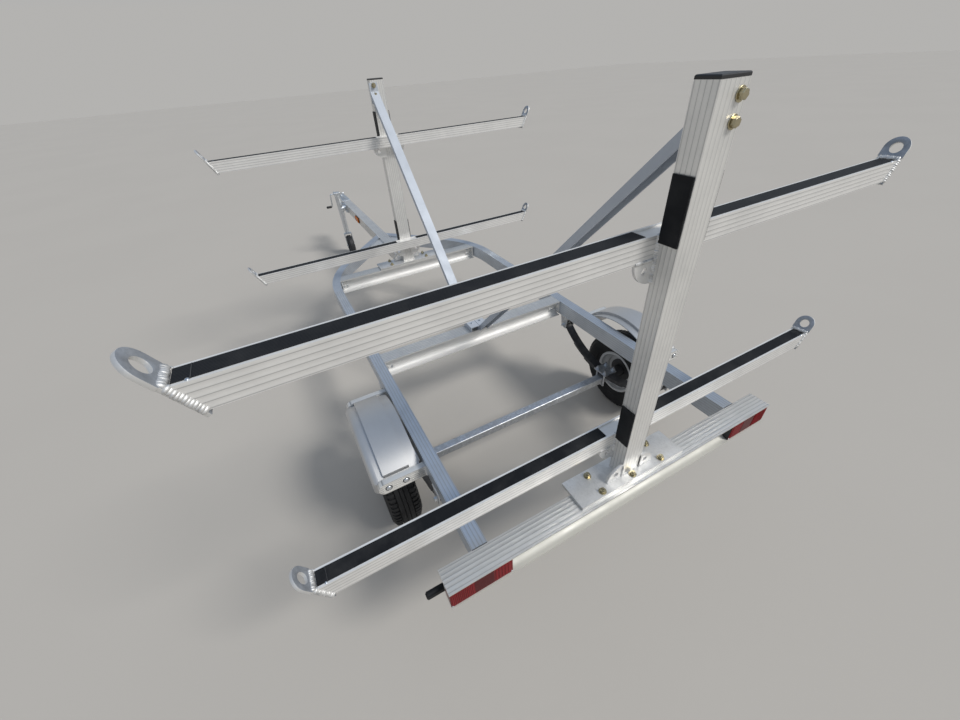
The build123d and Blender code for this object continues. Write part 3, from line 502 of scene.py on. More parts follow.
class Finish:
    """A procedural material put together from nodes on Object coordinates."""

    def __init__(self, name):
        self.material = bpy.data.materials.new(name)
        self.material.use_nodes = True
        self.nodes = self.material.node_tree.nodes
        self.links = self.material.node_tree.links
        self.shader = self.nodes["Principled BSDF"]
        self.place = self.nodes.new("ShaderNodeTexCoord").outputs["Object"]

    def add(self, kind, **values):
        node = self.nodes.new(kind)
        for key, value in values.items():
            setattr(node, key, value)
        return node

    def feed(self, socket, value):
        """A linked value, a colour or a plain number on a socket."""
        if isinstance(value, bpy.types.NodeSocket):
            self.links.new(value, socket)
        elif hasattr(value, "__len__"):
            socket.default_value = (*value, 1)
        else:
            socket.default_value = value

    def wire(self, name, value):
        """A value on one of the shader's sockets."""
        self.feed(self.shader.inputs[name], value)

    def axes(self):
        """X, Y and Z of the Object coordinates."""
        split = self.add("ShaderNodeSeparateXYZ")
        self.links.new(self.place, split.inputs["Vector"])
        return split.outputs

    def grain(self, run, across, along, turn=(0, 0, 0)):
        """Object coordinates scaled one way across a run (0 X, 1 Y, 2 Z) and another way along it."""
        scale = [across] * 3
        scale[run] = along
        mapping = self.add("ShaderNodeMapping")
        mapping.inputs["Scale"].default_value = scale
        mapping.inputs["Rotation"].default_value = turn
        self.links.new(self.place, mapping.inputs["Vector"])
        return mapping.outputs["Vector"]

    def noise(self, scale, detail=3.0, rough=0.5, where=None):
        node = self.add("ShaderNodeTexNoise")
        node.inputs["Scale"].default_value = scale
        node.inputs["Detail"].default_value = detail
        node.inputs["Roughness"].default_value = rough
        self.links.new(where or self.place, node.inputs["Vector"])
        return node.outputs["Fac"]

    def cells(self, scale):
        node = self.add("ShaderNodeTexVoronoi")
        node.inputs["Scale"].default_value = scale
        self.links.new(self.place, node.inputs["Vector"])
        return node

    def calculate(self, operation, *values):
        """One step of arithmetic on linked or plain values."""
        node = self.add("ShaderNodeMath", operation=operation)
        for socket, value in zip(node.inputs, values):
            self.feed(socket, value)
        return node.outputs["Value"]

    def spread(self, value, low, high, start=0.0, end=1.0):
        """A value that goes from low to high while another goes from start to end."""
        node = self.add("ShaderNodeMapRange")
        for key, number in (("From Min", start), ("From Max", end), ("To Min", low), ("To Max", high)):
            node.inputs[key].default_value = number
        self.links.new(value, node.inputs["Value"])
        return node.outputs["Result"]

    def mask(self, value, start, end, most=1.0):
        """0 up to start and most from end on."""
        return self.spread(value, 0, most, start, end)

    def mix(self, factor, first, second):
        """A colour between two colours."""
        node = self.add("ShaderNodeMix", data_type="RGBA")
        for key, colour in (("A", first), ("B", second)):
            self.feed([i for i in node.inputs if i.name == key and i.type == "RGBA"][0], colour)
        self.links.new(factor, node.inputs[0])
        return [o for o in node.outputs if o.type == "RGBA"][0]

    def bump(self, height, strength, distance, under=None):
        node = self.add("ShaderNodeBump")
        node.inputs["Strength"].default_value = strength
        node.inputs["Distance"].default_value = distance
        self.links.new(height, node.inputs["Height"])
        if under:
            self.links.new(under, node.inputs["Normal"])
        return node.outputs["Normal"]


def shaded(colour, factor):
    """A colour made lighter or darker."""
    return tuple(min(1.0, channel * factor) for channel in colour)


def ridge_lines(finish, axis, first, step, within=None, strength=1.0):
    """Strength on the ridges between flutes and 0 off them: ridges start at first, one every step.

    The lines can be kept within a span of an axis, given as (axis, from, to).
    """
    axes = finish.axes()
    turns = finish.calculate("DIVIDE", finish.calculate("SUBTRACT", axes[axis], first), step)
    middle = finish.calculate("SUBTRACT", finish.calculate("FRACT", turns), 0.5)
    off_middle = finish.calculate("ABSOLUTE", middle)
    # A sharp line on each ridge and a soft darkening across the flute towards it: oxide there, and painted
    # shade of the flutes
    sharp = finish.mask(off_middle, 0.5 - RIDGE_HALF / step, 0.5, 0.8 * strength)
    soft = finish.mask(off_middle, 0.18, 0.5, 0.2 * strength)
    lines = finish.calculate("ADD", sharp, soft)
    if within:
        other, start, end = within
        above = finish.calculate("GREATER_THAN", axes[other], start)
        below = finish.calculate("LESS_THAN", axes[other], end)
        lines = finish.calculate("MULTIPLY", lines, finish.calculate("MULTIPLY", above, below))
    return lines


def extruded_aluminium(name, run, ridges=(), tint=(1.0, 1.0, 1.0), matt=None, sheen=None):
    """Bright mill finish with drawing lines along the run (0 X, 1 Y, 2 Z), smudges and scratches.

    Each row of ridges holds the arguments of ridge_lines, and oxide with painted shade darkens the
    metal there. Given (height, colour) as matt, the metal is matt and of that colour below that height.
    The tint scales the colour; on some extrusions it paints light or a sky reflection. The sheen is the
    share of mirror reflection, where it isn't the usual one.
    """
    look = bpy.context.scene.trailer_metal
    sheen = sheen or look.aluminium_metallic
    finish = Finish(name)
    drawing_lines = finish.noise(1.0, 2.0, 0.6, finish.grain(run, across=420.0, along=2.5))
    bands = finish.noise(1.0, 2.0, 0.5, finish.grain(run, across=60.0, along=0.8))
    smudges = finish.noise(7.0, 5.0, 0.62)
    nicks = finish.noise(9.0, 6.0, 0.75, finish.grain(run, across=34.0, along=11.0, turn=(0.5, 0.3, 0.6)))
    colour = tuple(channel * share for channel, share in zip(look.aluminium, tint))
    tone = finish.mix(finish.mask(smudges, 0.42, 0.66), colour, shaded(colour, 0.86))
    tone = finish.mix(finish.mask(bands, 0.4, 0.7, 0.45), tone, shaded(colour, 0.93))
    # The ridges darkened: oxide, and painted shade that stands in for the flutes' shading
    for row in ridges:
        tone = finish.mix(ridge_lines(finish, *row), tone, tuple(look.oxide_and_painted_shade))
    polish = look.aluminium_roughness
    rough = finish.spread(smudges, polish - 0.09, polish + 0.13, 0.3, 0.72)
    if matt:
        height, matt_colour = matt
        level = finish.axes()["Z"]

        def by_height(below, above):
            """One value below the height and another above it."""
            return finish.spread(level, below, above, height - 0.001, height)

        rough = finish.calculate("ADD", rough, by_height(0.25, 0.0))
        sheen = by_height(0.42, sheen)
        tone = finish.mix(by_height(0.8, 0.0), tone, tuple(matt_colour))
    finish.wire("Metallic", sheen)
    finish.wire("Base Color", tone)
    finish.wire("Roughness", rough)
    relief = finish.bump(drawing_lines, 0.22, 0.0006)
    finish.wire("Normal", finish.bump(finish.mask(nicks, 0.60, 0.74), 0.05, 0.0006, relief))
    return finish.material


# How each extrusion's metal differs from the usual aluminium: a factor for red, green and blue. The
# arms, masts and brackets are made lighter as painted light, and the rails and braces darker and bluer
# as a painted sky reflection
ARM_PAINTED_LIGHT_TINT = (1.12, 1.115, 1.11)
MAST_PAINTED_LIGHT_TINT = (1.09, 1.085, 1.07)
BEAM_TINT = (0.90, 0.90, 0.895)
RAIL_SKY_REFLECTION_TINT = (0.70, 0.77, 0.88)
BRACE_SKY_REFLECTION_TINT = (0.82, 0.87, 0.94)
BRACKET_PAINTED_LIGHT_TINT = (1.1, 1.1, 1.09)
# Share of mirror reflection of those that are duller than the rest
ARM_SHEEN = 0.46
MAST_SHEEN = 0.55
BRACKET_SHEEN = 0.56
# The beams' flutes are drawn down to this far below their top
BEAM_FLUTE_DEPTH = 0.002


def ridges_between(low, high, axis, within=None, strength=1.0):
    """Row of ridge_lines' arguments, from one margin of a fluted side to the other."""
    first, last = low[axis] + FLUTE_MARGIN, high[axis] - FLUTE_MARGIN
    step = (last - first) / round((last - first) / FLUTE_PITCH)
    return (axis, first, step, within, strength)


def arm_finish(node):
    """Flutes on both sides and underneath, none on the lips."""
    low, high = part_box(node)
    low = Vector((low.x, low.y, high.z - ARM_TALL))
    under_lips = Vector((high.x, high.y, high.z - ARM_LIP))
    rows = (
        ridges_between(low, under_lips, 2, (2, low.z + 0.0005, high.z), 0.85),
        ridges_between(low, high, 0, (2, low.z - 0.001, low.z + 0.003)),
    )
    return extruded_aluminium(node + "_metal", 1, rows, ARM_PAINTED_LIGHT_TINT, sheen=ARM_SHEEN)


def mast_finish(node):
    """Flutes up all four sides."""
    low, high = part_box(node)
    rows = (ridges_between(low, high, 0, None, 0.75), ridges_between(low, high, 1, None, 0.5))
    return extruded_aluminium(node + "_metal", 2, rows, MAST_PAINTED_LIGHT_TINT, sheen=MAST_SHEEN)


def beam_finish(node):
    """Five flutes along the top, and matt webs below it."""
    look = bpy.context.scene.trailer_metal
    web_top = FRAME_TOP - BEAM_FLUTE_DEPTH
    row = (0, middle_of(node).x - 2.5 * FLUTE_PITCH, FLUTE_PITCH, (2, web_top, FRAME_TOP + 0.001))
    web = look.matt_web if node == "crossmember_rear" else look.aluminium
    return extruded_aluminium(node + "_metal", 1, (row,), BEAM_TINT, (web_top, tuple(web)))


def rail_finish(node):
    """Flutes on all four sides, drawn on top only as far as the rail is straight."""
    low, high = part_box(node)
    hand = 1 if high.y > 0 else -1
    straight = (0, -10.0, low.x + RAIL_STRAIGHT)
    edges = sorted((hand * RAIL_INNER_Y, hand * RAIL_OUTER_Y))
    low, high = Vector((low.x, edges[0], low.z)), Vector((high.x, edges[1], high.z))
    rows = (ridges_between(low, high, 1, straight), ridges_between(low, high, 2))
    return extruded_aluminium(node + "_metal", 0, rows, RAIL_SKY_REFLECTION_TINT)


def tongue_finish(node):
    """Flutes on all four sides."""
    low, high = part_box(node)
    rows = (ridges_between(low, high, 1), ridges_between(low, high, 2))
    return extruded_aluminium(node + "_metal", 0, rows)


def bracket_finish(node):
    """Grooves along the bars."""
    first = middle_of(node).z - BRACKET_GROOVE / 2
    grooves = (2, first, BRACKET_GROOVE, None, 1.25)
    return extruded_aluminium("bracket_metal", 1, (grooves,), BRACKET_PAINTED_LIGHT_TINT, sheen=BRACKET_SHEEN)


# Finish of each fluted extrusion
FLUTED = (
    (arm_finish, [arm for arm, face_x, ahead in ARMS]),
    (mast_finish, ("mast_rear", "mast_front")),
    (beam_finish, ("crossmember_rear", "crossmember_middle", "crossmember_front")),
    (rail_finish, ("rail_left", "rail_right")),
    (tongue_finish, ("tongue",)),
    (bracket_finish, ("fender_brackets",)),
)


def plate_aluminium(name, colour, depth):
    """Cut plate: no drawing lines, a rolled grain with dull and bright patches of a given depth."""
    look = bpy.context.scene.trailer_metal
    finish = Finish(name)
    patches = finish.noise(16.0, 5.0, 0.65)
    specks = finish.noise(150.0, 4.0, 0.7)
    rolled = finish.noise(1.0, 3.0, 0.6, finish.grain(0, across=420.0, along=60.0))
    colour = tuple(colour)
    tone = finish.mix(finish.mask(patches, 0.4, 0.65), colour, shaded(colour, 1 - depth))
    tone = finish.mix(finish.mask(specks, 0.52, 0.72, depth * 2), tone, shaded(colour, 0.6))
    finish.wire("Base Color", tone)
    finish.wire("Metallic", look.aluminium_metallic)
    finish.wire("Roughness", finish.spread(patches, 0.44, 0.62, 0.3, 0.7))
    finish.wire("Normal", finish.bump(rolled, 0.18, 0.0006))
    return finish.material


def weld_metal():
    """Bright bead with sooty valleys."""
    look = bpy.context.scene.trailer_metal
    finish = Finish("weld_metal")
    soot = finish.noise(90.0, 4.0, 0.6)
    colour = shaded(look.aluminium, 0.92)
    finish.wire("Base Color", finish.mix(finish.mask(soot, 0.46, 0.7), colour, shaded(colour, 0.62)))
    finish.wire("Metallic", 0.8)
    finish.wire("Roughness", finish.spread(soot, 0.48, 0.66))
    finish.wire("Normal", finish.bump(finish.noise(700.0, 2.0), 0.2, 0.0005))
    return finish.material


def galvanised_steel():
    """Zinc spangle in large soft cells."""
    look = bpy.context.scene.trailer_metal
    finish = Finish("galvanised_steel")
    dull = finish.noise(30.0, 3.0)
    spangle = finish.cells(140.0).outputs["Color"]
    colour = tuple(look.galvanised)
    tone = finish.mix(spangle, shaded(colour, 0.82), shaded(colour, 1.2))
    finish.wire("Base Color", finish.mix(finish.mask(dull, 0.4, 0.7, 0.6), tone, shaded(colour, 0.75)))
    finish.wire("Metallic", 0.9)
    finish.wire("Roughness", finish.spread(dull, 0.36, 0.55, 0.3, 0.7))
    finish.wire("Normal", finish.bump(dull, 0.1, 0.001))
    return finish.material


def zinc_plate(name, colour, smoothest, roughest):
    """Thin bright plating on pressed steel, a little clouded."""
    finish = Finish(name)
    cloud = finish.noise(38.0, 4.0, 0.6)
    colour = tuple(colour)
    finish.wire("Base Color", finish.mix(finish.mask(cloud, 0.38, 0.66), colour, shaded(colour, 0.88)))
    finish.wire("Metallic", 1.0)
    finish.wire("Roughness", finish.spread(cloud, smoothest, roughest, 0.3, 0.7))
    finish.wire("Normal", finish.bump(finish.noise(260.0, 2.0), 0.02, 0.0005))
    return finish.material


def painted(name, colour, rough, dust):
    """Sprayed paint with a little orange peel and dust that settles in patches."""
    finish = Finish(name)
    patches = finish.noise(22.0, 5.0, 0.65)
    colour = tuple(colour)
    dusty = tuple(c + dust * (0.42 - c) for c in colour)
    finish.wire("Base Color", finish.mix(finish.mask(patches, 0.45, 0.75), colour, dusty))
    finish.wire("Roughness", finish.spread(patches, rough, rough + 0.2, 0.4, 0.75))
    finish.wire("Normal", finish.bump(finish.noise(420.0, 2.0), 0.08, 0.0004))
    return finish.material


def rubber(name, colour, ribs=None):
    """Matt rubber, with fine ribs across one axis if asked."""
    finish = Finish(name)
    colour = tuple(colour)
    bloom = finish.noise(11.0, 5.0, 0.6)
    dusty = tuple(c + 0.05 for c in colour)
    finish.wire("Base Color", finish.mix(finish.mask(bloom, 0.45, 0.75, 0.4), colour, dusty))
    finish.wire("Roughness", finish.spread(bloom, 0.46, 0.64, 0.3, 0.7))
    finish.wire("Specular IOR Level", 0.17)
    relief = finish.bump(finish.noise(900.0, 2.0), 0.22, 0.0004)
    if ribs:
        wave = finish.add("ShaderNodeTexWave", wave_type="BANDS", bands_direction=ribs)
        wave.inputs["Scale"].default_value = 82.0
        finish.links.new(finish.place, wave.inputs["Vector"])
        relief = finish.bump(wave.outputs["Fac"], 0.35, 0.0006, relief)
    finish.wire("Normal", relief)
    return finish.material


def moulded_plastic(name, colour, rough, grain):
    """Moulded plastic with a fine leather grain."""
    finish = Finish(name)
    colour = tuple(colour)
    patches = finish.noise(9.0, 4.0, 0.6)
    finish.wire("Base Color", finish.mix(finish.mask(patches, 0.4, 0.7, 0.6), colour, shaded(colour, 0.85)))
    finish.wire("Roughness", finish.spread(patches, rough - 0.04, rough + 0.08, 0.3, 0.7))
    finish.wire("Normal", finish.bump(finish.cells(grain).outputs["Distance"], 0.12, 0.0005))
    return finish.material


def fender_plastic():
    """Silver-grey fender shell: a soft sheen over a flaked grey."""
    finish = Finish("fender_shell")
    colour = tuple(bpy.context.scene.trailer_soft.fender)
    flakes = finish.cells(1500.0).outputs["Color"]
    haze = finish.noise(6.0, 4.0, 0.6)
    tone = finish.mix(flakes, shaded(colour, 0.97), shaded(colour, 1.03))
    finish.wire("Base Color", finish.mix(finish.mask(haze, 0.42, 0.7, 0.5), tone, shaded(colour, 0.86)))
    finish.wire("Metallic", 0.70)
    finish.wire("Roughness", finish.spread(haze, 0.36, 0.43, 0.3, 0.7))
    finish.wire("Normal", finish.bump(finish.noise(180.0, 2.0), 0.02, 0.0004))
    finish.wire("Coat Weight", 0.15)
    finish.wire("Coat Roughness", 0.3)
    return finish.material


def lens_plastic(name, colour, pitch):
    """Glossy lens with rows of small prisms inside."""
    finish = Finish(name)
    colour = tuple(colour)
    prisms = finish.cells(pitch)
    prisms.distance = "CHEBYCHEV"
    prisms.inputs["Randomness"].default_value = 0.0
    depth = prisms.outputs["Distance"]
    tone = finish.mix(finish.mask(depth, 0.1, 0.55), shaded(colour, 1.5), shaded(colour, 0.55))
    finish.wire("Base Color", tone)
    finish.wire("Roughness", 0.26)
    finish.wire("Specular IOR Level", 0.09)
    finish.wire("Normal", finish.bump(depth, 0.15, 0.0006))
    return finish.material


FINISHES = {}
# CAD pieces that wear each finish, apart from the fluted extrusions
WORN = {
    "brace": ("brace_rear", "brace_front"),
    "plate": ("base_plate_rear", "base_plate_front", "tongue_gussets"),
    "eye_face_and_sky_reflection": ("arm_eyes",),
    "galvanised": ("axle", "spring_hangers", "spring_clamps"),
    "zinc": (
        "coupler", "coupler_head", "coupler_latch", "jack_bracket", "jack_tube", "jack_crank",
        "jack_leg", "jack_fork",
    ),
    "black_steel": ("spring_left", "spring_right", "hub_left", "hub_right"),
    "rim": ("rim_left", "rim_right"),
    "strip": ("arm_pads",),
    "pad": ("mast_pads", "end_stub"),
    "tyre": ("tyre_left", "tyre_right"),
    "cap": ("mast_caps",),
    "jack_wheel": ("jack_wheel",),
    "fender": ("fender_left", "fender_right"),
    "red": ("tail_lamps",),
    "amber": ("side_markers",),
}


class TRAILER_OT_finishes(bpy.types.Operator):
    """Mix every finish and put it on the CAD pieces"""

    bl_idname = "trailer.finishes"
    bl_label = "Finishes"

    def execute(self, context):
        metal = context.scene.trailer_metal
        soft = context.scene.trailer_soft
        FINISHES.update({
            # The braces are matt all over, their bluish colour and tint a painted sky reflection
            "brace": extruded_aluminium("brace_metal", 2, (), BRACE_SKY_REFLECTION_TINT, (ABOVE_ALL, metal.brace)),
            "plate": plate_aluminium("plate_aluminium", metal.aluminium, 0.18),
            # The eyes' faces darker and bluer as a painted sky reflection
            "eye_face_and_sky_reflection": plate_aluminium("eye_face_and_sky_reflection", metal.eye_face_and_sky_reflection, 0.34),
            "eye_edge": plate_aluminium("eye_edge", metal.aluminium, 0.12),
            "weld": weld_metal(),
            "galvanised": galvanised_steel(),
            "zinc": zinc_plate("bright_zinc", metal.zinc, 0.34, 0.44),
            "yellow_zinc": zinc_plate("yellow_zinc", metal.yellow_zinc, 0.24, 0.4),
            "black_steel": painted("black_steel", metal.black_steel, 0.4, 0.12),
            "cut_edge": painted("cut_edge", soft.cut_edge, 0.6, 0.2),
            "rim": painted("rim_paint", metal.rim_paint, 0.3, 0.15),
            "strip": rubber("rubber_strip", soft.strip, "X"),
            "pad": rubber("rubber_pad", soft.strip),
            "tyre": rubber("tyre_rubber", soft.tyre),
            "cap": moulded_plastic("black_cap", soft.cap, 0.42, 900.0),
            "jack_wheel": moulded_plastic("jack_wheel_plastic", soft.cap, 0.5, 500.0),
            "fender": fender_plastic(),
            "red": lens_plastic("red_lens", soft.red_lens, 260.0),
            "lamp_field": lens_plastic("lamp_field", soft.lamp_field, 210.0),
            "lamp_plate_field": lens_plastic("lamp_plate_field", soft.lamp_plate_field, 320.0),
            "amber": lens_plastic("amber_lens", soft.amber_lens, 260.0),
        })
        worn = dict(WORN)
        for make_finish, nodes in FLUTED:
            for node in nodes:
                FINISHES[node] = make_finish(node)
                worn[node] = (node,)
        for key, nodes in worn.items():
            for node in nodes:
                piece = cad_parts[node]
                piece.data.materials.clear()
                piece.data.materials.append(FINISHES[key])
        return {"FINISHED"}


# Plates with rounded edges

EYE_ROUNDING = 0.0014
PLATE_ROUNDING = 0.0009
# A face of an eye is part of its cut edge if its normal has less than this share across the plate
CUT_EDGE_LEAN = 0.6


class TRAILER_OT_plates(bpy.types.Operator):
    """Tie-down eyes, foot plates and fender brackets with their edges rounded"""

    bl_idname = "trailer.plates"
    bl_label = "Plates"

    def execute(self, context):
        eyes = soften("arm_eyes", EYE_ROUNDING, FINISHES["eye_face_and_sky_reflection"])

        def bright_edge(spot, normal):
            """The cut edge round a leaning eye and in its hole, bright against the dull face with its
            painted sky reflection.
            """
            across = Vector((0, math.copysign(math.cos(EYE_LEAN), spot.y), -math.sin(EYE_LEAN)))
            return abs(normal.dot(across)) < CUT_EDGE_LEAN

        eyes.data.materials.append(FINISHES["eye_edge"])
        pick_faces(eyes, bright_edge)
        eyes.active_material_index = 1
        bpy.ops.object.material_slot_assign()
        bpy.ops.object.mode_set(mode="OBJECT")
        for node in ("base_plate_rear", "base_plate_front"):
            soften(node, PLATE_ROUNDING, FINISHES["plate"])
        soften("fender_brackets", PLATE_ROUNDING, FINISHES["fender_brackets"])
        return {"FINISHED"}


# Road tyres

# The edges of each groove off the tyre's middle, how much its walls slope, where the shoulder starts,
# and how much the tread drops there and at the shoulder's two outer points
GROOVES = ((0.006, 0.010), (0.026, 0.030))
WALL_SLOPE = 0.0006
SHOULDER = 0.046
CROWN_DROP = 0.0035
SHOULDER_DROPS = ((-0.057, 0.0145), (-0.0515, 0.0055))
# Notches in the shoulders: their span off the tyre's middle, how far below the tread they reach, depth
NOTCH_SPAN = (0.0305, 0.058)
NOTCH_REACH = 0.017
NOTCH_DEPTH = 0.0045
# Distance from the tyre's middle and radius, from the bead up one sidewall with its ribs, with None
# for the widest place
SIDEWALL = (
    (-0.047, 0.1085), (-0.048, 0.118), (-0.0515, 0.1205), (-0.0535, 0.1255), (-0.0542, 0.129),
    (-0.0568, 0.1335), (-0.0578, 0.135), (-0.0592, 0.1353), (-0.0600, 0.1368), (-0.0628, 0.150),
    (-0.0643, 0.160), (None, 0.168), (None, 0.178), (-0.0637, 0.1865), (-0.0643, 0.188),
    (-0.0622, 0.1905), (-0.0603, 0.1945),
)
# The wall's inner side, closed under the tread
TREAD_WALL = 0.014
INNER_SIDE = ((0.05, 0.16), (0.03, 0.19))


def mirrored(points):
    """The same run of points on the tyre's other half."""
    return [(-y, r) for y, r in reversed(points)]


def tyre_profile(radius, half, depth):
    """Section of a tyre, as distance from its middle and radius."""
    tread = []
    for inner, outer in GROOVES:
        near, far = (radius - CROWN_DROP * (edge / SHOULDER) ** 2 for edge in (inner, outer))
        tread += [(inner, near), (inner + WALL_SLOPE, near - depth)]
        tread += [(outer - WALL_SLOPE, far - depth), (outer, far)]
    sidewall = [(-half if y is None else y, r) for y, r in SIDEWALL]
    crown = [(y, radius - drop) for y, drop in (*SHOULDER_DROPS, (-SHOULDER, CROWN_DROP))]
    inside = [*INNER_SIDE, (0, radius - TREAD_WALL), *mirrored(INNER_SIDE)]
    outside = [*sidewall, *crown, *mirrored(tread), *tread, *mirrored(crown), *mirrored(sidewall)]
    return outside + inside


class TRAILER_OT_tyres(bpy.types.Operator):
    """Road tyres with ribbed sidewalls and a blocked tread"""

    bl_idname = "trailer.tyres"
    bl_label = "Tyres"

    def execute(self, context):
        sizes = context.scene.trailer_tyre
        size = TYRE_HIGH - TYRE_LOW
        radius = size.z / 2
        pitch = math.tau / sizes.pitches
        profile = tyre_profile(radius, size.y / 2, sizes.groove_depth)
        for side, hand in SIDES:
            centre = Vector((AXLE.x, hand * AXLE.y, AXLE.z))
            points = [(centre.x, centre.y + y, centre.z + r) for y, r in profile]
            tyre = turn_outline(f"road_tyre_{side}", points, centre, (0, 1, 0), 2 * sizes.pitches)

            def notch(spot, normal):
                """Every second face of the shoulder ribs, staggered from side to side."""
                away = spot - centre
                inner, outer = NOTCH_SPAN
                lowest = radius - NOTCH_REACH
                if math.hypot(away.x, away.z) < lowest or not inner < abs(away.y) < outer:
                    return False
                angle = math.atan2(away.z, away.x) + (0.5 * pitch if away.y > 0 else 0)
                return (angle / pitch) % 1.0 < 0.5

            pick_faces(tyre, notch)
            bpy.ops.mesh.extrude_region_shrink_fatten(TRANSFORM_OT_shrink_fatten={"value": -NOTCH_DEPTH})
            bpy.ops.object.mode_set(mode="OBJECT")
            smooth(tyre, 28)
            settle(tyre, f"wheel_{side}", FINISHES["tyre"])
            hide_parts(f"tyre_{side}")
        return {"FINISHED"}


# Bolts and nuts

# A hexagon's turned-off corners and rounded edges as shares of its width, its dome as one of its height
HEX_INSET = 0.06
HEX_EDGE = 0.03
HEX_DOME = 0.12
WASHER_TALL = 0.0018
# The bolt's end past its nut, with three turns of thread round it
END_PROUD = 0.0065
THREAD_FOOT = 0.0108
THREAD_STEP = 0.0016
THREAD_TALL = 0.0009
# Round heads of the fender brackets and the black rings under them: radius and height
ROUND_HEAD = (0.0105, 0.006)
ROUND_HEAD_RING = (0.0128, 0.0009)
# Bolts through mast and brace: height above the frame and turn of the head
BRACE_BOLTS = ((1.028, 0.3), (0.987, 0.9))
BRACE_BOLT_Y = 0.022
BRACE_WALL = 0.006
BRACE_FOOT_TOP = 0.025
# Bolts through each foot plate: distance past the mast's face, distance from the middle
PLATE_BOLTS = ((0.004, 0.128), (0.004, -0.128), (-0.064, 0.125), (-0.064, -0.125), (-0.064, 0.0))
# Clips between beams and rails: the beam, and how far from the middle its clips reach
CLIPS = (("crossmember_middle", 0.5116), ("crossmember_front", 0.492))
# A clip's bolts: their distance above and below the rails' middle, and behind the beam's middle and short
# of the clip's reach, for those of its web leg and those of its rail leg
CLIP_BOLT_RISE = 0.016
CLIP_WEB_X = 0.0075
CLIP_WEB_RUNS = (0.037, 0.013)
CLIP_LEG_X = 0.024
CLIP_LEG_RUN = 0.005
# Bolts of each fender bracket, by their distance from the trailer's middle
BRACKET_BOLTS = (0.702, 0.638)
# Springs: their eyes off the middle and below the top, the hangers' width, and the ends of the U bolts
SPRING_EYE_RUN = 0.329
SPRING_EYE_DROP = 0.014
HANGER_WIDE = 0.055
U_BOLT_DROP = 0.018
U_BOLT_RUN = 0.026
U_BOLT_REACH = 0.0285
# Bolts through the coupler: distance from its rear end, and height above the rails' middle
COUPLER_BOLTS = (0.020, 0.052)
COUPLER_BOLT_RISE = 0.008
# The jack's bracket: its plate's face and its bolts off its middle, and the screws on the gear head
JACK_PLATE_FACE = 0.008
JACK_BOLT_RUN = 0.046
JACK_BOLT_RISE = 0.026
GEAR_HEAD_Y = 0.031
GEAR_SCREW_RUN = 0.020


def hexagon(name, across, height, domed=True, foot=0.0):
    """A bolt head or nut that stands at a height above the origin, its top corners turned off."""
    deselect_everything()
    bpy.ops.mesh.primitive_cylinder_add(
        vertices=6, radius=across / math.sqrt(3), depth=height, location=(0, 0, foot + height / 2)
    )
    head = name_new(name)
    bpy.ops.object.transform_apply(location=True)
    pick_faces(head, lambda spot, normal: normal.z > 0.9)
    bpy.ops.mesh.inset(thickness=across * HEX_INSET)
    if domed:
        bpy.ops.transform.translate(value=(0, 0, height * HEX_DOME))
    bpy.ops.object.mode_set(mode="OBJECT")
    round_edges(head, across * HEX_EDGE, 1)
    return head


def disc(name, radius, height, low=0.0, edge=0.0006, sides=24):
    """A round plate with a softened rim, such as a washer or a shank's end."""
    deselect_everything()
    bpy.ops.mesh.primitive_cylinder_add(
        vertices=sides, radius=radius, depth=height, location=(0, 0, low + height / 2)
    )
    plate = name_new(name)
    bpy.ops.object.transform_apply(location=True)
    round_edges(plate, edge, 1, 40)
    return plate


def bolt_head(sizes):
    """Washer and hexagon head."""
    washer = disc("washer", sizes.washer, WASHER_TALL)
    head = hexagon("head", sizes.across, sizes.head, foot=WASHER_TALL)
    return join([washer, head], "bolt_model")


def bolt_nut(sizes):
    """Washer, nut and the bolt's threaded end."""
    washer = disc("washer", sizes.washer, WASHER_TALL)
    nut = hexagon("nut", sizes.across, sizes.head * 1.1, domed=False, foot=WASHER_TALL)
    end = disc("end", sizes.across * 0.29, sizes.head + END_PROUD, 0.0, 0.0008, 16)
    rings = []
    for turn in range(3):
        foot = THREAD_FOOT + turn * THREAD_STEP
        rings.append(disc("thread", sizes.across * 0.31, THREAD_TALL, foot, 0.0003, 16))
    return join([washer, nut, end, *rings], "nut_model")


def dome_head(radius, height):
    """Low round head, as on a carriage bolt."""
    deselect_everything()
    bpy.ops.mesh.primitive_uv_sphere_add(segments=20, ring_count=10, radius=radius)
    head = name_new("dome_model")
    bpy.ops.object.mode_set(mode="EDIT")
    bpy.ops.mesh.select_all(action="SELECT")
    bpy.ops.mesh.bisect(plane_co=(0, 0, 0), plane_no=(0, 0, 1), clear_inner=True, use_fill=True)
    bpy.ops.mesh.select_all(action="SELECT")
    bpy.ops.transform.resize(value=(1, 1, height / radius), center_override=(0, 0, 0))
    bpy.ops.object.mode_set(mode="OBJECT")
    smooth(head, 50)
    return head


# Each place of a bolt is the point where it leaves the metal, the way it faces and its turn in radians


def mast_bolts():
    """Places of heads and nuts through masts and braces, and of the nuts on the foot plates."""
    heads, nuts = [], []
    for rise, turn in BRACE_BOLTS:
        z = FRAME_TOP + rise
        for end, face_x, ahead in ENDS:
            y = -ahead * BRACE_BOLT_Y
            heads.append(((face_x - ahead * MAST_DEPTH, y, z), (-ahead, 0, 0), turn))
            nuts.append(((face_x + ahead * BRACE_WALL, y, z), (ahead, 0, 0), turn + 0.4))
    for end, face_x, ahead in ENDS:
        for index, (run, across) in enumerate(PLATE_BOLTS):
            nuts.append(((face_x + ahead * run, across, PLATE_TOP), (0, 0, 1), 0.35 * index))
    return heads, nuts


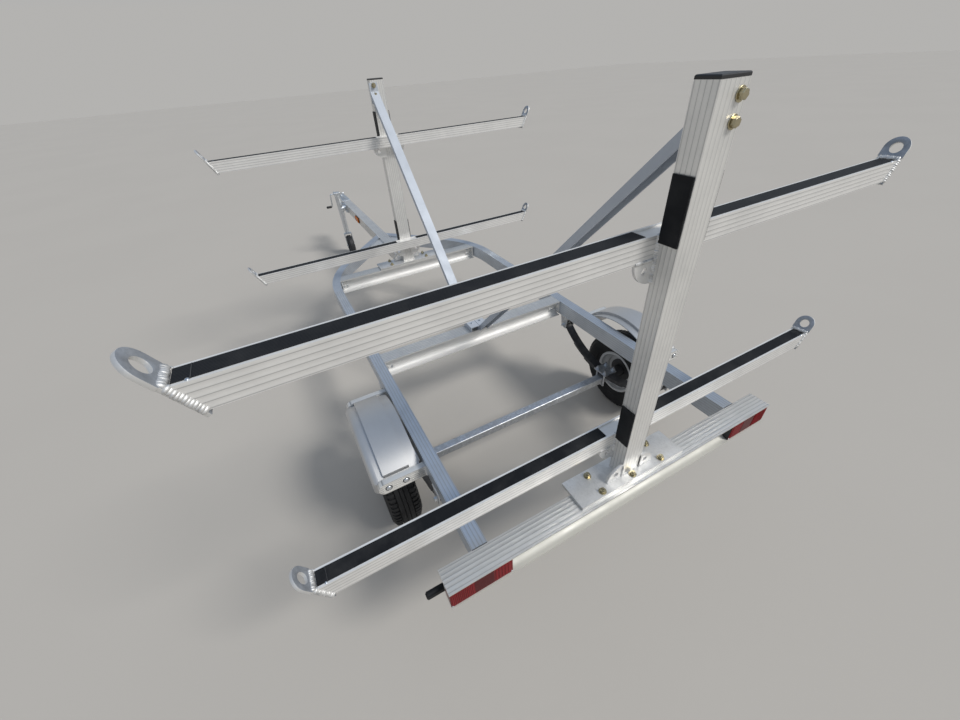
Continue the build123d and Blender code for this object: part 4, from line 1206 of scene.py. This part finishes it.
def clip_bolts():
    """Places of the small heads: six on each clip and one on the flat foot of each brace."""
    places = []
    for node, reach in CLIPS:
        beam_x = middle_of(node).x
        for hand in WAYS:
            for rise in (-CLIP_BOLT_RISE, CLIP_BOLT_RISE):
                z = RAIL_MID_Z + rise
                for run in CLIP_WEB_RUNS:
                    y = reach - run
                    places.append(((beam_x - CLIP_WEB_X, hand * y, z), (-1, 0, 0), 9 * rise + 40 * y))
                spot = (beam_x - CLIP_LEG_X, hand * (reach - CLIP_LEG_RUN), z)
                places.append((spot, (0, -hand, 0), 0.4 + 20 * rise))
    beam_x = middle_of("crossmember_middle").x
    for node in ("brace_rear", "brace_front"):
        places.append(((beam_x, middle_of(node).y, FRAME_TOP + BRACE_FOOT_TOP), (0, 0, 1), 0.3))
    return places


def bracket_bolts():
    """Places of the round heads on the outer faces of the fender brackets' bars."""
    low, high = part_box("fender_brackets")
    places = []
    for hand in WAYS:
        for across in BRACKET_BOLTS:
            for x, way in ((low.x, -1), (high.x, 1)):
                places.append(((x, hand * across, middle_of("fender_brackets").z), (way, 0, 0), 0))
    return places


def spring_bolts():
    """Places of heads and nuts through the springs' eyes, and of the nuts on their U bolts."""
    heads, nuts = [], []
    spring = middle_of("spring_left")
    eye_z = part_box("spring_left")[1].z - SPRING_EYE_DROP
    hanger_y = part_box("spring_hangers")[1].y
    nut_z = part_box("spring_clamps")[1].z - U_BOLT_DROP
    for hand in WAYS:
        for ahead in WAYS:
            x = spring.x + ahead * SPRING_EYE_RUN
            heads.append(((x, hand * hanger_y, eye_z), (0, hand, 0), 0.4))
            nuts.append(((x, hand * (hanger_y - HANGER_WIDE), eye_z), (0, -hand, 0), 0.1))
        for ahead in WAYS:
            for edge in WAYS:
                y = hand * spring.y + edge * U_BOLT_REACH
                nuts.append(((spring.x + ahead * U_BOLT_RUN, y, nut_z), (0, 0, 1), 0.7))
    return heads, nuts


def drawbar_bolts():
    """Places of heads and nuts through the coupler, and of the heads on the jack's bracket."""
    heads, nuts = [], []
    low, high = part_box("coupler")
    z = RAIL_MID_Z + COUPLER_BOLT_RISE
    for run in COUPLER_BOLTS:
        heads.append(((low.x + run, high.y, z), (0, 1, 0), 0.6))
        nuts.append(((low.x + run, low.y, z), (0, -1, 0), 0.2))
    bracket = middle_of("jack_bracket")
    face_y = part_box("jack_bracket")[0].y + JACK_PLATE_FACE
    for ahead in WAYS:
        for up in WAYS:
            spot = (bracket.x + ahead * JACK_BOLT_RUN, face_y, bracket.z + up * JACK_BOLT_RISE)
            heads.append((spot, (0, 1, 0), 0.3))
    return heads, nuts


def gear_head_screws():
    """Places of the two screws on top of the jack's gear head."""
    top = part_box("jack_tube")[1]
    places = []
    for way in WAYS:
        run = way * GEAR_SCREW_RUN
        places.append(((middle_of("jack_tube").x + run, top.y - GEAR_HEAD_Y + run, top.z), (0, 0, 1), 0.5))
    return places


class TRAILER_OT_bolts(bpy.types.Operator):
    """Bolts and nuts through masts, plates, clips, brackets, springs, coupler and jack"""

    bl_idname = "trailer.bolts"
    bl_label = "Bolts"

    def execute(self, context):
        sizes = context.scene.trailer_bolt
        head, nut, dome = bolt_head(sizes), bolt_nut(sizes), dome_head(*ROUND_HEAD)
        ring = disc("ring_model", *ROUND_HEAD_RING)
        small = hexagon("small_bolt_model", sizes.small, sizes.small * 0.5)
        mast_heads, mast_nuts = mast_bolts()
        spring_heads, spring_nuts = spring_bolts()
        drawbar_heads, drawbar_nuts = drawbar_bolts()
        for model, places, name, body, finish in (
            (head, mast_heads, "mast_and_plate_bolts", "frame", "yellow_zinc"),
            (nut, mast_nuts, "mast_and_plate_nuts", "frame", "yellow_zinc"),
            (head, spring_heads + drawbar_heads, "frame_bolts", "frame", "zinc"),
            (nut, spring_nuts + drawbar_nuts, "frame_nuts", "frame", "zinc"),
            (dome, bracket_bolts(), "bracket_bolts", "frame", "zinc"),
            (ring, bracket_bolts(), "bracket_bolt_rings", "frame", "cap"),
            (small, clip_bolts(), "clip_bolts", "frame", "zinc"),
            (small, gear_head_screws(), "jack_head_screws", "jack", "zinc"),
        ):
            settle(copy_to(model, places, name), body, FINISHES[finish])
        throw_away(head, nut, dome, ring, small)
        return {"FINISHED"}


# Wheel nuts and valves

WHEEL_NUT = (0.019, 0.014)
WHEEL_NUTS = 4
NUT_CIRCLE = 0.0508
VALVE_CIRCLE = 0.073
VALVE_ANGLE = 2.2
# The outer face of the rim's disc lies this far inside the tyre's middle
DISC_INSIDE = 0.002
# Height above the rim's disc and radius, from the foot of the valve to its cap
VALVE_STEM = (
    (0.0, 0.0), (0.0, 0.0062), (0.003, 0.0062), (0.006, 0.0045), (0.017, 0.0040), (0.018, 0.0047),
    (0.026, 0.0045), (0.027, 0.0036), (0.027, 0.0),
)


def on_disc(hand, radius, angle, turn):
    """A place on the outer face of a rim's disc."""
    x, z = AXLE.x + radius * math.cos(angle), AXLE.z + radius * math.sin(angle)
    return ((x, hand * (AXLE.y - DISC_INSIDE), z), (0, hand, 0), turn)


class TRAILER_OT_wheel_nuts(bpy.types.Operator):
    """Wheel nuts and a valve on each road wheel"""

    bl_idname = "trailer.wheel_nuts"
    bl_label = "Wheel nuts"

    def execute(self, context):
        nut = hexagon("wheel_nut_model", *WHEEL_NUT)
        points = [(radius, 0, height) for height, radius in VALVE_STEM]
        valve = turn_outline("valve_model", points, (0, 0, 0), (0, 0, 1), 16, False)
        smooth(valve, 40)
        angles = [math.tau * (index + 0.5) / WHEEL_NUTS for index in range(WHEEL_NUTS)]
        for side, hand in SIDES:
            body = f"wheel_{side}"
            places = [on_disc(hand, NUT_CIRCLE, angle, angle) for angle in angles]
            settle(copy_to(nut, places, f"wheel_nuts_{side}"), body, FINISHES["zinc"])
            places = [on_disc(hand, VALVE_CIRCLE, VALVE_ANGLE, 0.0)]
            settle(copy_to(valve, places, f"valve_{side}"), body, FINISHES["cap"])
        throw_away(nut, valve)
        return {"FINISHED"}


# Small fittings

# Distance from the crank grip's outer end and radius
GRIP = (
    (0.0, 0.0), (0.0, 0.0085), (-0.002, 0.0108), (-0.012, 0.0118), (-0.025, 0.0108), (-0.040, 0.0118),
    (-0.050, 0.0105), (-0.052, 0.0085), (-0.052, 0.0),
)
CRANK_RADIUS = 0.006
# The latch's pin: radius, height of its heads, and its place off the latch's front end and underside
LATCH_PIN = (0.0065, 0.003)
LATCH_PIN_BACK = 0.020
LATCH_PIN_UP = 0.015
# Cuts across the strips: their edges off the strip's end, the lips beside them, their foot and top
CUT_EDGES = (0.0244, 0.0236)
CUT_LIP = 0.0055
CUT_FOOT = 0.001
CUT_TOP = 0.0012
# The bright clip at each cut: radius and height, and its place off the strip's end and middle
STRIP_CLIP = (0.0034, 0.0022)
CLIP_OFF_END = 0.020
CLIP_OFF_MIDDLE = 0.0205
# The side markers' bases stand out by this and are wider than the lens by this all round
BASE_DEEP = 0.0045
BASE_MARGIN = 0.005
BASE_EDGE = 0.0015
# The dark strips that paint the shadow of the gap behind the rails: their margin beside, half their length,
# their foot and top
RAIL_SHADOW_MARGIN = 0.001
RAIL_SHADOW_HALF = 0.0012
RAIL_SHADOW_FOOT = 0.002
RAIL_SHADOW_TOP = 0.0003


def block_on_side(name, hand, along, across, heights, edge=0.0):
    """A block on the left (1) or right (-1), between two places each along, across and up."""
    near, far = sorted(hand * distance for distance in across)
    return block(name, (along[0], near, heights[0]), (along[1], far, heights[1]), edge)


class TRAILER_OT_crank_grip(bpy.types.Operator):
    """Black grip on the jack's crank"""

    bl_idname = "trailer.crank_grip"
    bl_label = "Crank grip"

    def execute(self, context):
        low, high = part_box("jack_crank")
        x, z = high.x - CRANK_RADIUS, low.z + CRANK_RADIUS
        points = [(x, high.y + y, z + radius) for y, radius in GRIP]
        handle = turn_outline("crank_grip", points, (x, high.y, z), (0, 1, 0), 28, False)
        smooth(handle, 50)
        settle(handle, "jack", FINISHES["cap"])
        return {"FINISHED"}


class TRAILER_OT_latch_pin(bpy.types.Operator):
    """Both heads of the pin through the coupler's latch"""

    bl_idname = "trailer.latch_pin"
    bl_label = "Latch pin"

    def execute(self, context):
        low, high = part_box("coupler_latch")
        pin = disc("pin_model", *LATCH_PIN)
        x, z = high.x - LATCH_PIN_BACK, low.z + LATCH_PIN_UP
        places = [((x, hand * high.y, z), (0, hand, 0), 0.0) for hand in WAYS]
        settle(copy_to(pin, places, "latch_pin"), "frame", FINISHES["zinc"])
        throw_away(pin)
        return {"FINISHED"}


class TRAILER_OT_strip_ends(bpy.types.Operator):
    """A cut across each rubber strip near its end, with a bright clip at the cut's corner"""

    bl_idname = "trailer.strip_ends"
    bl_label = "Strip ends"

    def execute(self, context):
        cuts, clips = [], []
        clip = dome_head(*STRIP_CLIP)
        strip_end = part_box("arm_pads")[1].y
        across = [strip_end - edge for edge in CUT_EDGES]
        for name, face_x, ahead in ARMS:
            low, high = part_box(name)
            along = (low.x + CUT_LIP, high.x - CUT_LIP)
            heights = (high.z - CUT_FOOT, high.z + CUT_TOP)
            clip_x = middle_of(name).x - ahead * CLIP_OFF_MIDDLE
            for hand in WAYS:
                cuts.append(block_on_side("strip_cut", hand, along, across, heights))
                clips.append(((clip_x, hand * (strip_end - CLIP_OFF_END), high.z), (0, 0, 1), 0.0))
        settle(join(cuts, "strip_cuts"), "frame", FINISHES["cut_edge"])
        settle(copy_to(clip, clips, "strip_clips"), "frame", FINISHES["zinc"])
        throw_away(clip)
        return {"FINISHED"}


class TRAILER_OT_marker_bases(bpy.types.Operator):
    """Black bases between the tongue and the side markers"""

    bl_idname = "trailer.marker_bases"
    bl_label = "Marker bases"

    def execute(self, context):
        low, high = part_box("side_markers")
        along = (low.x - BASE_MARGIN, high.x + BASE_MARGIN)
        across = (TONGUE_HALF, TONGUE_HALF + BASE_DEEP)
        heights = (low.z - BASE_MARGIN, high.z + BASE_MARGIN)
        bases = [
            block_on_side("marker_base", hand, along, across, heights, BASE_EDGE) for hand in WAYS
        ]
        settle(join(bases, "marker_bases"), "frame", FINISHES["cap"])
        return {"FINISHED"}


class TRAILER_OT_rail_end_shadows(bpy.types.Operator):
    """Dark strips where the side rails end at the rear beam, painted shadow of the gap there"""

    bl_idname = "trailer.rail_seams"
    bl_label = "Rail seams"

    def execute(self, context):
        along = (RAIL_LOW.x - RAIL_SHADOW_HALF, RAIL_LOW.x + RAIL_SHADOW_HALF)
        across = (RAIL_INNER_Y + RAIL_SHADOW_MARGIN, RAIL_OUTER_Y - RAIL_SHADOW_MARGIN)
        heights = (FRAME_TOP - RAIL_SHADOW_FOOT, FRAME_TOP + RAIL_SHADOW_TOP)
        seams = [block_on_side("rail_end_shadow", hand, along, across, heights) for hand in WAYS]
        settle(join(seams, "rail_seams"), "frame", FINISHES["black_steel"])
        return {"FINISHED"}


# Tail lamps

LAMP_LONG = 0.198
# The housing behind the lens: its front, where it starts to round off, its round part's depth and
# height, its gap above and below, and the lens's wall at its outer end
HOUSING_FRONT = 0.0042
HOUSING_BEND = 0.0088
ROUND_DEEP = 0.0254
ROUND_TALL = 0.0258
HOUSING_GAP = 0.0006
END_GAP = 0.0016
END_WALL = 0.0015
# Piece, how many, start of the first off the lamp's inner end, step to the next, length, distance behind
# the lamp's face, margin above and below, rounded edge
LAMP_FIELDS = (
    ("lamp_lenses", 1, 0.0004, 0.0, 0.1972, 0.0022, 0.0008, 0.002),
    ("lamp_plate_fields", 1, 0.062, 0.0, 0.060, 0.0014, 0.006, 0.0008),
    ("lamp_fields", 13, 0.1265, 0.0052, 0.0042, 0.0004, 0.006, 0.0016),
    ("lamp_fields", 5, 0.008, 0.0102, 0.0086, 0.0008, 0.008, 0.0012),
)
FIELD_BACK = 0.0046
# Screws: radius and height, then places off the lamp's inner end, behind its face, above its underside
LAMP_SCREW = (0.0032, 0.0018)
SCREW_RUNS = (0.0042, 0.1938)
SCREW_BEHIND = 0.0022
SCREW_UP = 0.0052


class TRAILER_OT_lamps(bpy.types.Operator):
    """Tail lamps: a housing in the beam's hollow, three lens fields and two screws each"""

    bl_idname = "trailer.lamps"
    bl_label = "Tail lamps"

    def execute(self, context):
        low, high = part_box("tail_lamps")
        middle, half = (low.z + high.z) / 2, (high.z - low.z) / 2
        inner, outer = high.y - LAMP_LONG, high.y - END_GAP
        # Upper half of the housing's outline: distance behind the lamp's face, height above its middle
        upper = [(HOUSING_FRONT, half - HOUSING_GAP)]
        for step in range(5):
            angle = math.radians(22.5 * step)
            rise = half - HOUSING_GAP - ROUND_TALL * (1 - math.cos(angle))
            upper.append((HOUSING_BEND + ROUND_DEEP * math.sin(angle), rise))
        outline = upper + [(run, -rise) for run, rise in reversed(upper)]
        parts = {"lamp_housings": [], "lamp_lenses": [], "lamp_plate_fields": [], "lamp_fields": []}
        screws = []
        for hand in WAYS:
            points = [(low.x + run, hand * inner, middle + rise) for run, rise in outline]
            parts["lamp_housings"].append(prism("lamp_housing", points, (0, hand * (outer - inner), 0)))
            points = [(x, hand * outer, z) for x, y, z in points]
            parts["lamp_lenses"].append(prism("lamp_end_wall", points, (0, hand * END_WALL, 0)))
            for name, count, start, step, length, behind, margin, edge in LAMP_FIELDS:
                along = (low.x + behind, low.x + FIELD_BACK)
                heights = (middle - half + margin, middle + half - margin)
                for index in range(count):
                    first = inner + start + index * step
                    across = (first, first + length)
                    parts[name].append(block_on_side("lamp_field", hand, along, across, heights, edge))
            for run in SCREW_RUNS:
                spot = (low.x + SCREW_BEHIND, hand * (inner + run), low.z + SCREW_UP)
                screws.append((spot, (-1, 0, 0), 0.0))
        dome = dome_head(*LAMP_SCREW)
        for piece, finish, slot in (
            (join(parts["lamp_housings"], "lamp_housings"), "cap", "red_lens"),
            (join(parts["lamp_lenses"], "lamp_lenses"), "red", "red_lens"),
            (join(parts["lamp_plate_fields"], "lamp_plate_fields"), "lamp_plate_field", "red_lens"),
            (join(parts["lamp_fields"], "lamp_fields"), "lamp_field", "red_lens"),
            (copy_to(dome, screws, "lamp_screws"), "zinc", None),
        ):
            settle(piece, "frame", FINISHES[finish])
            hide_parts("tail_lamps")
        throw_away(dome)
        return {"FINISHED"}


# Weld beads

# A ripple's length as a share of the pitch and its crown as one of the width, and how far it leans
RIPPLE_LONG = 0.95
CROWN = 0.29
RIPPLE_LEAN = math.radians(24)
# How much a bead sways and swells, as shares of its width and height, and its turn at each ripple
SWAY, SWAY_TURN = 0.04, 1.7
SWELL, SWELL_TURN = 0.12, 2.3
# Start and end of the beads at the fins below the arms and at those on the foot plates, off the mast
ARM_FIN_SPAN = (0.004, 0.056)
FOOT_FIN_SPAN = (0.003, 0.055)
FIN_THICK = 0.008
FIN_TALL = 0.055
# The bead across an eye's foot lies this far past the arm's end and above its top
EYE_BEAD_OUT = 0.002
EYE_BEAD_UP = 0.004
# The angle at which the rails meet the drawbar, a hanger's length, a bracket bar's thickness, and how
# much of the gusset's tip has no bead
RAIL_CUT = math.radians(41.0)
HANGER_LONG = 0.056
BRACKET_BAR = 0.024
GUSSET_TIP = 0.01


def weld_bead(length, width, ripple):
    """A bead along +X from the origin, its ripples lapped like fallen coins, crown up +Z."""
    deselect_everything()
    bpy.ops.mesh.primitive_uv_sphere_add(segments=10, ring_count=6, radius=1.0)
    bead = name_new("bead_model")
    bpy.ops.object.mode_set(mode="EDIT")
    bpy.ops.mesh.select_all(action="SELECT")
    bpy.ops.mesh.bisect(plane_co=(0, 0, -0.2), plane_no=(0, 0, 1), clear_inner=True)
    bpy.ops.mesh.select_all(action="SELECT")
    count = max(2, round(length / ripple))
    pitch = length / count
    size = (pitch * RIPPLE_LONG, width / 2, width * CROWN)
    bpy.ops.transform.resize(value=size, center_override=(0, 0, 0))
    bpy.ops.transform.translate(value=(pitch / 2, 0, 0))
    bpy.ops.transform.rotate(value=RIPPLE_LEAN, orient_axis="Y", center_override=(pitch / 2, 0, 0))
    bpy.ops.object.mode_set(mode="OBJECT")
    row = bead.modifiers.new("Row", "ARRAY")
    row.count = count
    row.use_relative_offset = False
    row.use_constant_offset = True
    row.constant_offset_displace = (pitch, 0, 0)
    pick(bead)
    bpy.ops.object.modifier_apply(modifier=row.name)
    points = len(bead.data.vertices) // count
    for index, point in enumerate(bead.data.vertices):
        number = index // points
        point.co.y += SWAY * width * math.sin(number * SWAY_TURN)
        point.co.z *= 1 + SWELL * math.sin(number * SWELL_TURN)
    smooth(bead, 60)
    return bead


def lay_bead(models, start, end, out, share=None):
    """A copy of the bead of that length and size, from start to end, its crown facing out."""
    start, end, out = Vector(start), Vector(end), Vector(out)
    run = end - start
    sizes = bpy.context.scene.trailer_weld
    share = share or sizes.fine
    key = (round(run.length, 4), share)
    if key not in models:
        models[key] = weld_bead(run.length, sizes.width * share, sizes.ripple * share)
    along = run.normalized()
    crown = (out - out.dot(along) * along).normalized()
    turn = Matrix((along, crown.cross(along), crown)).transposed()
    return copy_at(models[key], Matrix.Translation(start) @ turn.to_4x4())


def eye_seams():
    """Seams at the tie-down eyes: start, end, the way that the bead's crown faces, and its size."""
    seams = []
    for name, face_x, ahead in ARMS:
        low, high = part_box(name)
        for hand in WAYS:
            for x, way in ((low.x, -1), (high.x, 1)):
                foot = (x, hand * (high.y - ARM_SLANT), high.z - ARM_TALL)
                seams.append((foot, (x, hand * high.y, high.z), (way, -hand * 0.8, 0), 1.0))
            y, z = hand * (high.y + EYE_BEAD_OUT), high.z + EYE_BEAD_UP
            seams.append(((low.x, y, z), (high.x, y, z), (0, -hand, 1), 1.0))
    return seams


def arm_seams():
    """Seams between the masts and the arms, with the fins below them."""
    joint = bpy.context.scene.trailer_weld.joint
    seams = []
    for name, face_x, ahead in ARMS:
        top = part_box(name)[1].z
        fin_z = top - ARM_TALL
        for hand in WAYS:
            y = hand * MAST_HALF
            for upper in (top, fin_z):
                lower = upper - ARM_TALL
                seams.append(((face_x, y, upper), (face_x, y, lower), (-ahead, hand * 1.4, 0), joint))
            ends = [(face_x, hand * (MAST_HALF + reach), fin_z) for reach in ARM_FIN_SPAN]
            seams.append((*ends, (-ahead, 0, 0)))
    return seams


def foot_seams():
    """Seams between the masts, their fins and the foot plates."""
    seams = []
    for end, face_x, ahead in ENDS:
        back = face_x - ahead * MAST_DEPTH
        fin_front = back + ahead * FIN_THICK
        for hand in WAYS:
            y = hand * MAST_HALF
            for x, way in ((back, -ahead), (fin_front, ahead)):
                ends = [(x, hand * (MAST_HALF + reach), PLATE_TOP) for reach in FOOT_FIN_SPAN]
                seams.append((*ends, (way, 0, 1)))
            seams.append(((back, y, PLATE_TOP), (back, y, PLATE_TOP + FIN_TALL), (-ahead, hand, 0)))
            seams.append(((fin_front, y, PLATE_TOP), (face_x, y, PLATE_TOP), (0, hand, 1)))
        for x, way in ((face_x, ahead), (back, -ahead)):
            seams.append(((x, -MAST_HALF, PLATE_TOP), (x, MAST_HALF, PLATE_TOP), (way, 0, 1)))
    return seams


def frame_seams():
    """Seams of the rails with tongue, gussets, hangers and fender brackets."""
    seams = []
    rail_end = RAIL_HIGH.x
    rail_cut = (RAIL_OUTER_Y - RAIL_INNER_Y) / math.sin(RAIL_CUT)
    gusset_low, gusset_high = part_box("tongue_gussets")
    tongue_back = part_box("tongue")[0].x
    hanger_low, hanger_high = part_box("spring_hangers")
    bracket_low, bracket_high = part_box("fender_brackets")
    # Each upright bead at the brackets, and the way along X that it faces
    bracket_beads = (
        (bracket_low.x, -1), (bracket_low.x + BRACKET_BAR, 1),
        (bracket_high.x - BRACKET_BAR, -1), (bracket_high.x, 1),
    )
    for hand in WAYS:
        y = hand * TONGUE_HALF
        for z, up in ((FRAME_TOP, 1), (FRAME_LOW, -1)):
            seams.append(((rail_end - rail_cut, y, z), (rail_end, y, z), (0, 0, up)))
        seams.append(((rail_end, y, FRAME_LOW), (rail_end, y, FRAME_TOP), (1, hand, 0)))
        gusset_end = gusset_high.x - GUSSET_TIP
        seams.append(((gusset_low.x, y, gusset_high.z), (gusset_end, y, gusset_high.z), (0, hand, 1)))
        seams.append(((tongue_back, y, FRAME_LOW), (tongue_back, y, FRAME_TOP), (1, hand, 0)))
        for back in (hanger_low.x, hanger_high.x - HANGER_LONG):
            front = back + HANGER_LONG
            for wall, out in ((RAIL_INNER_Y, -hand), (RAIL_OUTER_Y, hand)):
                side = hand * wall
                seams.append(((back, side, FRAME_LOW), (front, side, FRAME_LOW), (0, out, 0.3)))
        side = hand * RAIL_OUTER_Y
        for x, way in bracket_beads:
            seams.append(((x, side, bracket_low.z), (x, side, bracket_high.z), (way, hand, 0)))
    return seams


class TRAILER_OT_welds(bpy.types.Operator):
    """Weld beads at the tie-down eyes, fins, mast feet, arms and drawbar"""

    bl_idname = "trailer.welds"
    bl_label = "Weld beads"

    def execute(self, context):
        models = {}
        for name, seams in (
            ("eye_welds", eye_seams()),
            ("mast_welds", arm_seams() + foot_seams()),
            ("frame_welds", frame_seams()),
        ):
            beads = [lay_bead(models, *seam) for seam in seams]
            settle(join(beads, name), "frame", FINISHES["weld"])
        throw_away(*models.values())
        return {"FINISHED"}


# Stage

FLOOR_WIDE = 90.0
# The floor's clouds are this much darker than the rest of it
CLOUD_SHADE = 0.985
# How steeply a ray rises, from 0 at eye level to 1 straight up, where each colour of the sky is reached
LIGHT_STOPS = (0.02, 0.75)
MIRROR_STOPS = (0.10, 0.24, 0.80)
KEY_AWAY = 6.0
SENSOR_WIDE = 36.0
CLIP_START = 0.05
CLIP_END = 200.0


class TRAILER_OT_stage(bpy.types.Operator):
    """Pale floor, soft light and the camera"""

    bl_idname = "trailer.stage"
    bl_label = "Stage"

    def execute(self, context):
        look = context.scene.trailer_stage
        deselect_everything()
        bpy.ops.mesh.primitive_plane_add(size=FLOOR_WIDE, location=(0, 0, 0))
        floor = name_new("studio_floor")
        concrete = Finish("studio_floor")
        cloud = concrete.noise(0.6, 3.0)
        colour = tuple(look.floor_colour)
        tone = concrete.mix(concrete.mask(cloud, 0.4, 0.6), colour, shaded(colour, CLOUD_SHADE))
        concrete.wire("Base Color", tone)
        concrete.wire("Roughness", 0.85)
        concrete.wire("Specular IOR Level", 0.2)
        floor.data.materials.append(concrete.material)

        world = bpy.data.worlds.new("studio_world")
        context.scene.world = world
        world.use_nodes = True
        nodes, links = world.node_tree.nodes, world.node_tree.links
        nodes.clear()
        output = nodes.new("ShaderNodeOutputWorld")
        light = nodes.new("ShaderNodeBackground")
        light.inputs["Strength"].default_value = look.sky_strength
        backdrop = nodes.new("ShaderNodeBackground")
        path = nodes.new("ShaderNodeLightPath")
        spot = nodes.new("ShaderNodeTexCoord")
        split = nodes.new("ShaderNodeSeparateXYZ")
        links.new(spot.outputs["Generated"], split.inputs["Vector"])
        mirrored_colours = (look.backdrop_colour, look.wall_colour, look.overhead_colour)
        for shader, stops, colours in (
            (light, LIGHT_STOPS, (look.low_sky_colour, look.sky_colour)),
            (backdrop, MIRROR_STOPS, mirrored_colours),
        ):
            ramp = nodes.new("ShaderNodeValToRGB")
            elements = ramp.color_ramp.elements
            while len(elements) < len(stops):
                elements.new(0.5)
            for element, stop, colour in zip(elements, stops, colours):
                element.position = stop
                element.color = (*colour, 1)
            links.new(split.outputs["Z"], ramp.inputs["Fac"])
            links.new(ramp.outputs["Color"], shader.inputs["Color"])
        seen = path.outputs["Is Camera Ray"]
        for ray in ("Is Glossy Ray", "Is Transmission Ray"):
            either = nodes.new("ShaderNodeMath")
            either.operation = "MAXIMUM"
            links.new(seen, either.inputs[0])
            links.new(path.outputs[ray], either.inputs[1])
            seen = either.outputs["Value"]
        choice = nodes.new("ShaderNodeMixShader")
        links.new(seen, choice.inputs["Fac"])
        links.new(light.outputs["Background"], choice.inputs[1])
        links.new(backdrop.outputs["Background"], choice.inputs[2])
        links.new(choice.outputs["Shader"], output.inputs["Surface"])

        deselect_everything()
        key_from = Vector(look.key_from)
        bpy.ops.object.light_add(type="SUN", location=key_from * KEY_AWAY)
        key = bpy.context.object
        key.name = "key_lamp"
        key.data.energy = look.key_strength
        key.data.angle = look.key_spread
        key.data.color = look.key_colour
        key.rotation_mode = "QUATERNION"
        key.rotation_quaternion = key_from.to_track_quat("Z", "Y")

        bpy.ops.object.camera_add(location=look.camera_place, rotation=look.camera_turn)
        camera = bpy.context.object
        camera.name = "photo_camera"
        camera.data.sensor_width = SENSOR_WIDE
        camera.data.lens = look.lens
        camera.data.clip_start = CLIP_START
        camera.data.clip_end = CLIP_END
        context.scene.camera = camera
        context.scene.view_settings.view_transform = "Standard"
        return {"FINISHED"}


# Panel and registration

STEPS = (
    TRAILER_OT_finishes,
    TRAILER_OT_plates,
    TRAILER_OT_tyres,
    TRAILER_OT_wheel_nuts,
    TRAILER_OT_bolts,
    TRAILER_OT_crank_grip,
    TRAILER_OT_latch_pin,
    TRAILER_OT_strip_ends,
    TRAILER_OT_marker_bases,
    TRAILER_OT_rail_end_shadows,
    TRAILER_OT_lamps,
    TRAILER_OT_welds,
    TRAILER_OT_stage,
)
SETTINGS = (
    ("trailer_stage", StageSettings),
    ("trailer_metal", MetalSettings),
    ("trailer_soft", SoftSettings),
    ("trailer_tyre", TyreSettings),
    ("trailer_bolt", BoltSettings),
    ("trailer_weld", WeldSettings),
)


class TRAILER_PT_panel(bpy.types.Panel):
    """The trailer's pieces, in the order in which they are made"""

    bl_idname = "TRAILER_PT_panel"
    bl_label = "Boat Rack Trailer"
    bl_space_type = "VIEW_3D"
    bl_region_type = "UI"
    bl_category = "Trailer"

    def draw(self, context):
        for step in STEPS:
            self.layout.operator(step.bl_idname)
        for key, group in SETTINGS:
            box = self.layout.box()
            settings = getattr(context.scene, key)
            for field in group.__annotations__:
                box.prop(settings, field)


def register():
    for key, group in SETTINGS:
        bpy.utils.register_class(group)
        setattr(bpy.types.Scene, key, PointerProperty(type=group))
    for step in STEPS:
        bpy.utils.register_class(step)
    bpy.utils.register_class(TRAILER_PT_panel)


def unregister():
    bpy.utils.unregister_class(TRAILER_PT_panel)
    for step in reversed(STEPS):
        bpy.utils.unregister_class(step)
    for key, group in reversed(SETTINGS):
        delattr(bpy.types.Scene, key)
        bpy.utils.unregister_class(group)


def main():
    register()
    for step in STEPS:
        category, action = step.bl_idname.split(".")
        getattr(getattr(bpy.ops, category), action)()


if __name__ == "__main__":
    main()
